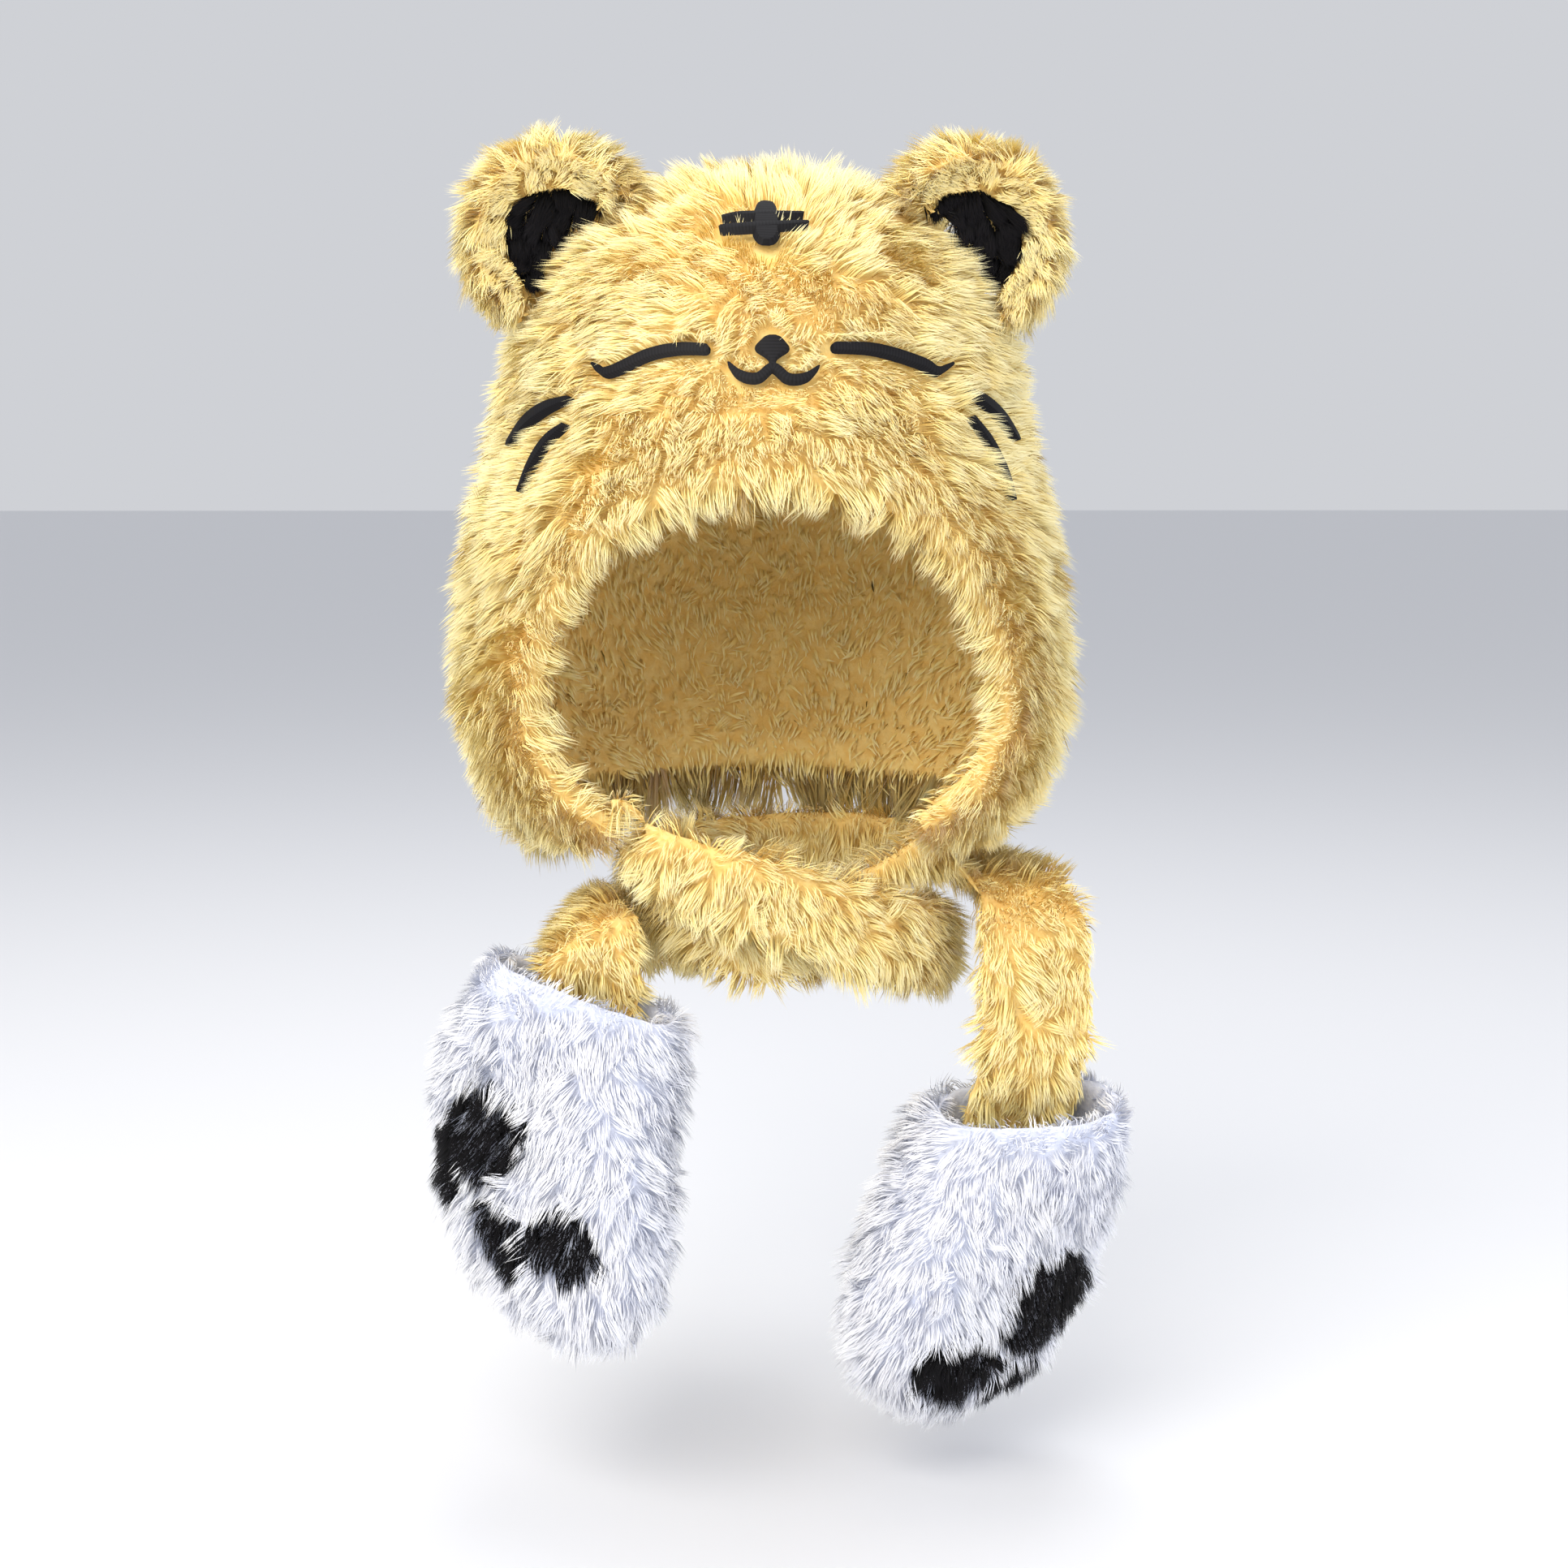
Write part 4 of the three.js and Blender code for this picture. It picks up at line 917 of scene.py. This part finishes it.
@dataclass
class Hood:
    """The plush hood: a dome with a thick brim, open at the face and the neck."""

    form: HoodForm
    embroidery: Embroidery
    skin: Skin = field(default_factory=lambda: Skin("hood_shell", grain=6.0, sunk=7.0, smoothing=12))
    pile: float = 18.0
    opening: tuple[float, float, float] = (0.0, -150.0, -225.0)
    # The brim's edge from its middle to the lower corner, as azimuth and polar angle.
    edge: tuple[tuple[float, float], ...] = (
        (0, 79),
        (20, 81.5),
        (36, 90),
        (46, 102),
        (52, 114),
        (52, 125),
        (44, 134),
        (37, 141),
    )
    rim: KDTree = field(init=False, default=None)

    def build(self, ground: bpy.types.Material) -> None:
        """Makes the knitted ground and finds the brim's edge."""
        self.skin.build("hood_ground", ground, Cloth.YELLOW)
        table = np.array([(k, *row) for k, row in enumerate(self.edge)], dtype=float)
        points = []
        for key in np.linspace(0, len(self.edge) - 1, 60):
            azimuth, polar = hermite(table, key)
            points += [self.form.place(side * azimuth, polar) for side in (-1, 1)]
        self.rim = KDTree(len(points))
        for k, point in enumerate(points):
            self.rim.insert(point, k)
        self.rim.balance()

    def facing_out(self, roots: np.ndarray, normals: np.ndarray) -> np.ndarray:
        """How far each normal points away from the hollow, from -1 inside to 1 outside."""
        middle = np.stack([np.zeros(len(roots)), np.zeros(len(roots)), np.clip(roots[:, 2], -0.2, -0.12)], axis=1)
        return np.sum(unit(roots - middle) * normals, axis=1)

    def brimness(self, roots: np.ndarray) -> np.ndarray:
        """1 at the brim's edge, falling to 0 about 60 mm away."""
        gaps = np.array([self.rim.find(root)[2] for root in roots])
        return np.exp(-((gaps / (34 * MM)) ** 2))

    def nap(self, roots: np.ndarray, normals: np.ndarray) -> np.ndarray:
        """Down and out over the sides, down the back, and over the brim into the opening."""
        brim = self.brimness(roots)[:, None]
        out = np.zeros_like(roots)
        out[:, 0] = np.tanh(roots[:, 0] / 0.1) * 0.8
        out[:, 1] = 0.25
        out[:, 2] = -0.6
        out += 0.9 * swirl(roots, 55, 3.0)
        inward = unit(np.array(self.opening) * MM - roots) + np.array([0, 0, -0.5])
        return tangent(out * (1 - brim) + inward * brim * 1.4, normals)

    def nape(self, roots: np.ndarray) -> np.ndarray:
        """Which roots lie along the lower edge of the back."""
        behind = self.skin.places[self.skin.places[:, 1] > 45 * MM]
        return (roots[:, 1] > 30 * MM) & (roots[:, 2] < behind[:, 2].min() + 13 * MM)

    def dress(self, material: bpy.types.Material, hidden: Callable) -> None:
        """Grows the outer coat in strips, the lining's short pile and a long fringe over the neck band.

        Args:
            material: The yellow pile.
            hidden: Tells which places are buried in a neighbour.
        """
        rng = np.random.default_rng(11)
        roots, normals = self.skin.scatter(330000, rng)
        facing = self.facing_out(roots, normals)
        outer = facing > -0.25
        front = roots[:, 1] < -30 * MM
        zones = {
            "hood_pile_brow": outer & front & (roots[:, 2] > -105 * MM),
            "hood_pile_cheeks": outer & front & (roots[:, 2] <= -105 * MM),
            "hood_pile_back": outer & ~front,
        }
        budget = {"hood_pile_brow": 62000, "hood_pile_cheeks": 54000, "hood_pile_back": 40000}
        for k, (name, zone) in enumerate(zones.items()):
            coat = Coat(name, budget[name], self.pile, width=0.52 if k < 2 else 0.95, seed=20 + k)
            stitched = name != "hood_pile_back"
            coat.grow(
                roots[zone],
                normals[zone],
                self.nap,
                self.embroidery.clear if stitched else None,
                material,
                Cloth.YELLOW,
                hidden,
                self.embroidery.part if stitched else None,
            )
        inner = ~outer
        lining = Coat("hood_lining_pile", 18000, 11.0, width=1.4, lean=(30, 80), depth=0.35, seed=31)
        lining.grow(roots[inner], normals[inner], self.lining_nap, None, material, Cloth.YELLOW)
        extra, ups = self.skin.scatter(260000, rng)
        low = self.nape(extra)
        fringe = Coat("hood_nape_pile", 9000, 34.0, width=1.0, lean=(8, 24), depth=0.4, seed=32)
        fringe.grow(extra[low], unit(ups[low] + [0, 0, -2.2]), self.lining_nap, None, material, Cloth.YELLOW)

    @staticmethod
    def lining_nap(roots: np.ndarray, normals: np.ndarray) -> np.ndarray:
        """Straight down the inside."""
        return np.tile(np.array([0.0, 0.0, -1.0]), (len(roots), 1)) + normals * 0.01


@dataclass
class Ear:
    """A round stuffed ear with a black plush patch in its hollow front."""

    side: str
    pile: float = 16.0
    skin: Skin = field(init=False, default=None)

    def build(self, ground: bpy.types.Material) -> None:
        """Makes the ear's ground."""
        self.skin = Skin(f"ear_{self.side}", grain=4.5, sunk=6.0, smoothing=8)
        self.skin.build(f"ear_{self.side}_ground", ground, Cloth.YELLOW)

    def dress(self, yellow: bpy.types.Material, black: bpy.types.Material, hidden: Callable) -> None:
        """Grows the yellow pile round the ear and the black pile of its patch.

        Args:
            yellow: The ear's own pile.
            black: The patch's pile.
            hidden: Tells which places are buried in a neighbour.
        """
        rng = np.random.default_rng(41)
        roots, normals = self.skin.scatter(30000, rng)
        patch = patch_of([f"ear_lining_{self.side}"], roots + normals * self.skin.sunk * MM, 4.5, 41)
        middle = self.skin.places.mean(axis=0)

        def nap(places: np.ndarray, ups: np.ndarray) -> np.ndarray:
            """Out from the middle of the ear, and a little down."""
            return unit(places - middle) + 0.7 * swirl(places, 16, 7.0) + [0, 0, -0.35]

        def inward(places: np.ndarray, ups: np.ndarray) -> np.ndarray:
            """Down the hollow."""
            return np.tile(np.array([0.0, 0.0, -1.0]), (len(places), 1)) + 0.2 * ups

        seed = 42 if self.side == "left" else 43
        coat = Coat(f"ear_{self.side}_pile", 14000, self.pile, lock=4.5, width=0.46, lean=(16, 66), gather=0.22, stray=0.7, depth=0.3, seed=seed)
        coat.grow(roots[~patch], normals[~patch], nap, None, yellow, Cloth.YELLOW, hidden)
        extra, ups = self.skin.scatter(60000, rng)
        inside = patch_of([f"ear_lining_{self.side}"], extra + ups * self.skin.sunk * MM, 4.5, 41)
        lining = Coat(f"ear_lining_{self.side}_pile", 6000, 14.0, lock=6.5, lean=(20, 65), seed=44)
        piece = lining.grow(extra[inside], ups[inside], inward, None, black, Cloth.BLACK, hidden)
        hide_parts(f"ear_lining_{self.side}")


def patch_of(nodes: list[str], places: np.ndarray, reach: float, seed: float) -> np.ndarray:
    """Which places lie under the given patches, with a ragged edge.

    Args:
        nodes: The patches' solids.
        places: Points at the height of the patches.
        reach: How near a place must be, in millimetres.
        seed: Shifts the raggedness.

    Returns:
        True for each place under a patch.
    """
    trees = [tree_of(name) for name in nodes]
    ragged = swirl(places, 9, seed)[:, 0]
    result = np.zeros(len(places), dtype=bool)
    for k, place in enumerate(places):
        near = (reach + 2.2 * ragged[k]) * MM
        result[k] = near > 0 and any(tree.find_nearest(Vector(place), near)[0] is not None for tree in trees)
    return result


@dataclass
class Band:
    """A padded scarf band, from the hood round the neck to a mitt."""

    side: str
    strands: int = 29000
    pile: float = 17.0
    skin: Skin = field(init=False, default=None)

    def build(self, ground: bpy.types.Material) -> None:
        """Makes the band's ground."""
        self.skin = Skin(f"scarf_{self.side}", grain=5.0, sunk=6.5, smoothing=10)
        self.skin.build(f"scarf_{self.side}_ground", ground, Cloth.YELLOW)

    @staticmethod
    def nap(roots: np.ndarray, normals: np.ndarray) -> np.ndarray:
        """Down, and a little out."""
        return np.tile(np.array([0.0, -0.15, -1.0]), (len(roots), 1)) + 0.2 * normals

    def dress(self, material: bpy.types.Material, hidden: Callable) -> None:
        """Grows the band's coat."""
        seed = 51 if self.side == "left" else 52
        roots, normals = self.skin.scatter(int(self.strands * 1.9), np.random.default_rng(seed))
        coat = Coat(f"scarf_{self.side}_pile", self.strands, self.pile, width=0.58, depth=0.42, seed=seed)
        coat.grow(roots, normals, self.nap, None, material, Cloth.YELLOW, hidden)


@dataclass
class Mitt:
    """A white plush paw mitt: a hollow pocket with black plush pads on its palm.

    Attributes:
        side: The side that it hangs on.
        mouth: The middle of its mouth, in millimetres.
        down: The way from its mouth to its fingertips.
        reach: How far the pads' pile spreads beyond their solids, in millimetres.
    """

    side: str
    mouth: tuple[float, float, float]
    down: tuple[float, float, float]
    reach: float
    strands: int = 29000
    pile: float = 15.0
    skin: Skin = field(init=False, default=None)

    def build(self, ground: bpy.types.Material) -> None:
        """Makes the mitt's ground."""
        self.skin = Skin(f"mitt_{self.side}", grain=4.5, sunk=4.0, smoothing=8)
        self.skin.build(f"mitt_{self.side}_ground", ground, Cloth.WHITE)

    def nap(self, roots: np.ndarray, normals: np.ndarray) -> np.ndarray:
        """Down towards the fingertips, but in over the band at the mouth's rim."""
        down = unit(np.array([self.down]))
        below = np.maximum((roots - np.array(self.mouth) * MM) @ down[0], 0)[:, None]
        rim = np.exp(-((below / (11 * MM)) ** 2))
        inward = unit(np.array(self.mouth) * MM - roots)
        return down * (1 - rim) + (0.8 * inward - 0.15 * down) * rim

    def lengths(self, roots: np.ndarray, normals: np.ndarray) -> np.ndarray:
        """A share of the length: shorter at the mouth's rim."""
        below = np.maximum((roots - np.array(self.mouth) * MM) @ unit(np.array([self.down]))[0], 0)
        return 1 - 0.4 * np.exp(-((below / (16 * MM)) ** 2))

    def dress(self, white: bpy.types.Material, black: bpy.types.Material, hidden: Callable) -> None:
        """Grows the white pile, the black pads and the short pile inside the mouth.

        Args:
            white: The mitt's own pile.
            black: The pads' pile.
            hidden: Tells which places are buried in a neighbour.
        """
        seed = 61 if self.side == "left" else 62
        pads = [f"paw_pad_{self.side}"] + [f"toe_pad_{self.side}_{k}" for k in (1, 2, 3)]
        roots, normals = self.skin.scatter(int(self.strands * 2.6), np.random.default_rng(seed))
        outward = np.sum(unit(roots - self.skin.axis(roots)) * normals, axis=1)
        outer = outward > -0.2
        tips = normals * self.skin.sunk + tangent(self.nap(roots, normals), normals) * 0.45 * self.pile
        patch = patch_of(pads, roots + tips * MM, self.reach, seed)
        coat = Coat(f"mitt_{self.side}_pile", self.strands, self.pile, depth=0.3, seed=seed)
        rest = outer & ~patch
        coat.grow(roots[rest], normals[rest], self.nap, self.lengths, white, Cloth.WHITE, hidden)
        dark = Coat(f"mitt_{self.side}_pads_pile", 8000, 14.0, lock=7.0, lean=(20, 70), seed=seed + 2)
        piece = dark.grow(roots[outer & patch], normals[outer & patch], self.nap, None, black, Cloth.BLACK, hidden)
        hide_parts(*pads)
        cuff = ~outer & (roots[:, 2] > self.skin.places[:, 2].max() - 70 * MM)
        # The lining's deeper tone is painted shade inside the mitt's mouth.
        lining = Coat(f"mitt_{self.side}_lining_pile", 4000, 8.0, lock=7.0, width=1.0, depth=0.6, seed=seed + 4)
        lining.grow(roots[cuff], normals[cuff], self.nap, None, white, Cloth.WHITE, hidden)


@dataclass
class Studio:
    """The plain stage: pale floor, soft lights and the camera at the photograph's angle."""

    azimuth: float = -3.0
    elevation: float = 7.0
    distance: float = 1300.0
    target: tuple[float, float, float] = (12.3, 0.0, -300.0)
    frame_width: float = 850.0
    floor_gap: float = 30.0

    def camera(self) -> None:
        """Makes the camera and lets the scene use it."""
        a, e = math.radians(self.azimuth), math.radians(self.elevation)
        ahead = Vector((-math.sin(a) * math.cos(e), math.cos(a) * math.cos(e), -math.sin(e)))
        data = bpy.data.cameras.new("camera")
        data.sensor_width = 36.0
        data.lens = 36.0 * self.distance / self.frame_width
        camera = bpy.data.objects.new("camera", data)
        camera.location = Vector(self.target) * MM - ahead * self.distance * MM
        camera.rotation_euler = ahead.to_track_quat("-Z", "Y").to_euler()
        bpy.context.scene.collection.objects.link(camera)
        bpy.context.scene.camera = camera

    def light(self, name: str, place: tuple[float, float, float], size: float, power: float, colour: str) -> None:
        """Adds a square soft light that looks at the middle of the part.

        Args:
            name: Its name.
            place: Where it stands, in metres.
            size: Its side, in metres.
            power: In watts.
            colour: Its sRGB colour.
        """
        data = bpy.data.lights.new(name, "AREA")
        data.size = size
        data.energy = power
        data.color = linear(colour)[:3]
        lamp = bpy.data.objects.new(name, data)
        lamp.location = place
        aim = Vector((0, 0, -0.25)) - Vector(place)
        lamp.rotation_euler = aim.to_track_quat("-Z", "Y").to_euler()
        bpy.context.scene.collection.objects.link(lamp)

    def build(self, lowest: float) -> None:
        """Sets the stage.

        Args:
            lowest: The part's lowest height, in metres.
        """
        self.camera()
        bpy.context.scene.view_settings.view_transform = "Standard"
        self.light("key", (-1.1, -2.0, 1.2), 2.2, 80, "#fffaf2")
        self.light("fill", (1.8, -1.8, 0.1), 2.0, 24, "#f2f5ff")
        self.light("top", (0.2, 0.6, 2.2), 1.6, 26, "#ffffff")
        world = bpy.data.worlds.new("studio")
        world.use_nodes = True
        backdrop = world.node_tree.nodes["Background"]
        backdrop.inputs["Color"].default_value = linear("#d9dbe0")
        backdrop.inputs["Strength"].default_value = 0.9
        bpy.context.scene.world = world
        side = 60.0
        mesh = bpy.data.meshes.new("floor")
        level = lowest - self.floor_gap * MM
        mesh.from_pydata([(x * side, y * side, level) for x, y in ((-1, -1), (1, -1), (1, 1), (-1, 1))], [], [(0, 1, 2, 3)])
        mesh.materials.append(FloorFinish().material())
        floor = bpy.data.objects.new("floor", mesh)
        bpy.context.scene.collection.objects.link(floor)


def main() -> None:
    """Builds and dresses the part in order, and sets the stage."""
    logging.basicConfig(level=logging.INFO, format="%(name)s %(message)s")
    yellow, white, black = (finish.material() for finish in (YELLOW_PILE, WHITE_PILE, BLACK_PILE))
    ground_yellow = ground_of(Cloth.YELLOW).material()
    ground_white = ground_of(Cloth.WHITE).material()
    # The second colour is painted shade for the valleys between stitches.
    thread = StitchFinish("rayon_satin_stitch", "#151418", "#070609").material()
    form = HoodForm()
    embroidery = Embroidery(form)
    embroidery.build(thread)
    hood = Hood(form, embroidery)
    ears = [Ear(side) for side in ("left", "right")]
    bands = [Band(side) for side in ("left", "right")]
    mitts = [
        Mitt("left", mouth=(-91, -88, -388), down=(-0.04, 0, -1), reach=2.6),
        Mitt("right", mouth=(138, -70, -456), down=(-0.28, 0.2, -1), reach=5.0),
    ]
    for body in (hood, *ears, *bands):
        body.build(ground_yellow)
    for mitt in mitts:
        mitt.build(ground_white)
    skins = [body.skin for body in (hood, *ears, *bands, *mitts)]
    LOG.info("grounds: %d", len(skins))

    def clear_of(own: Skin) -> Callable[[np.ndarray], np.ndarray]:
        """The test of what is buried in any other body."""
        return buried_in([skin for skin in skins if skin is not own])

    hood.dress(yellow, clear_of(hood.skin))
    for ear in ears:
        ear.dress(yellow, black, clear_of(ear.skin))
    for band in bands:
        band.dress(yellow, clear_of(band.skin))
    for mitt in mitts:
        mitt.dress(white, black, clear_of(mitt.skin))
    Studio().build(float(CAD_BOX[0][2]))


if __name__ == "__main__":
    main()
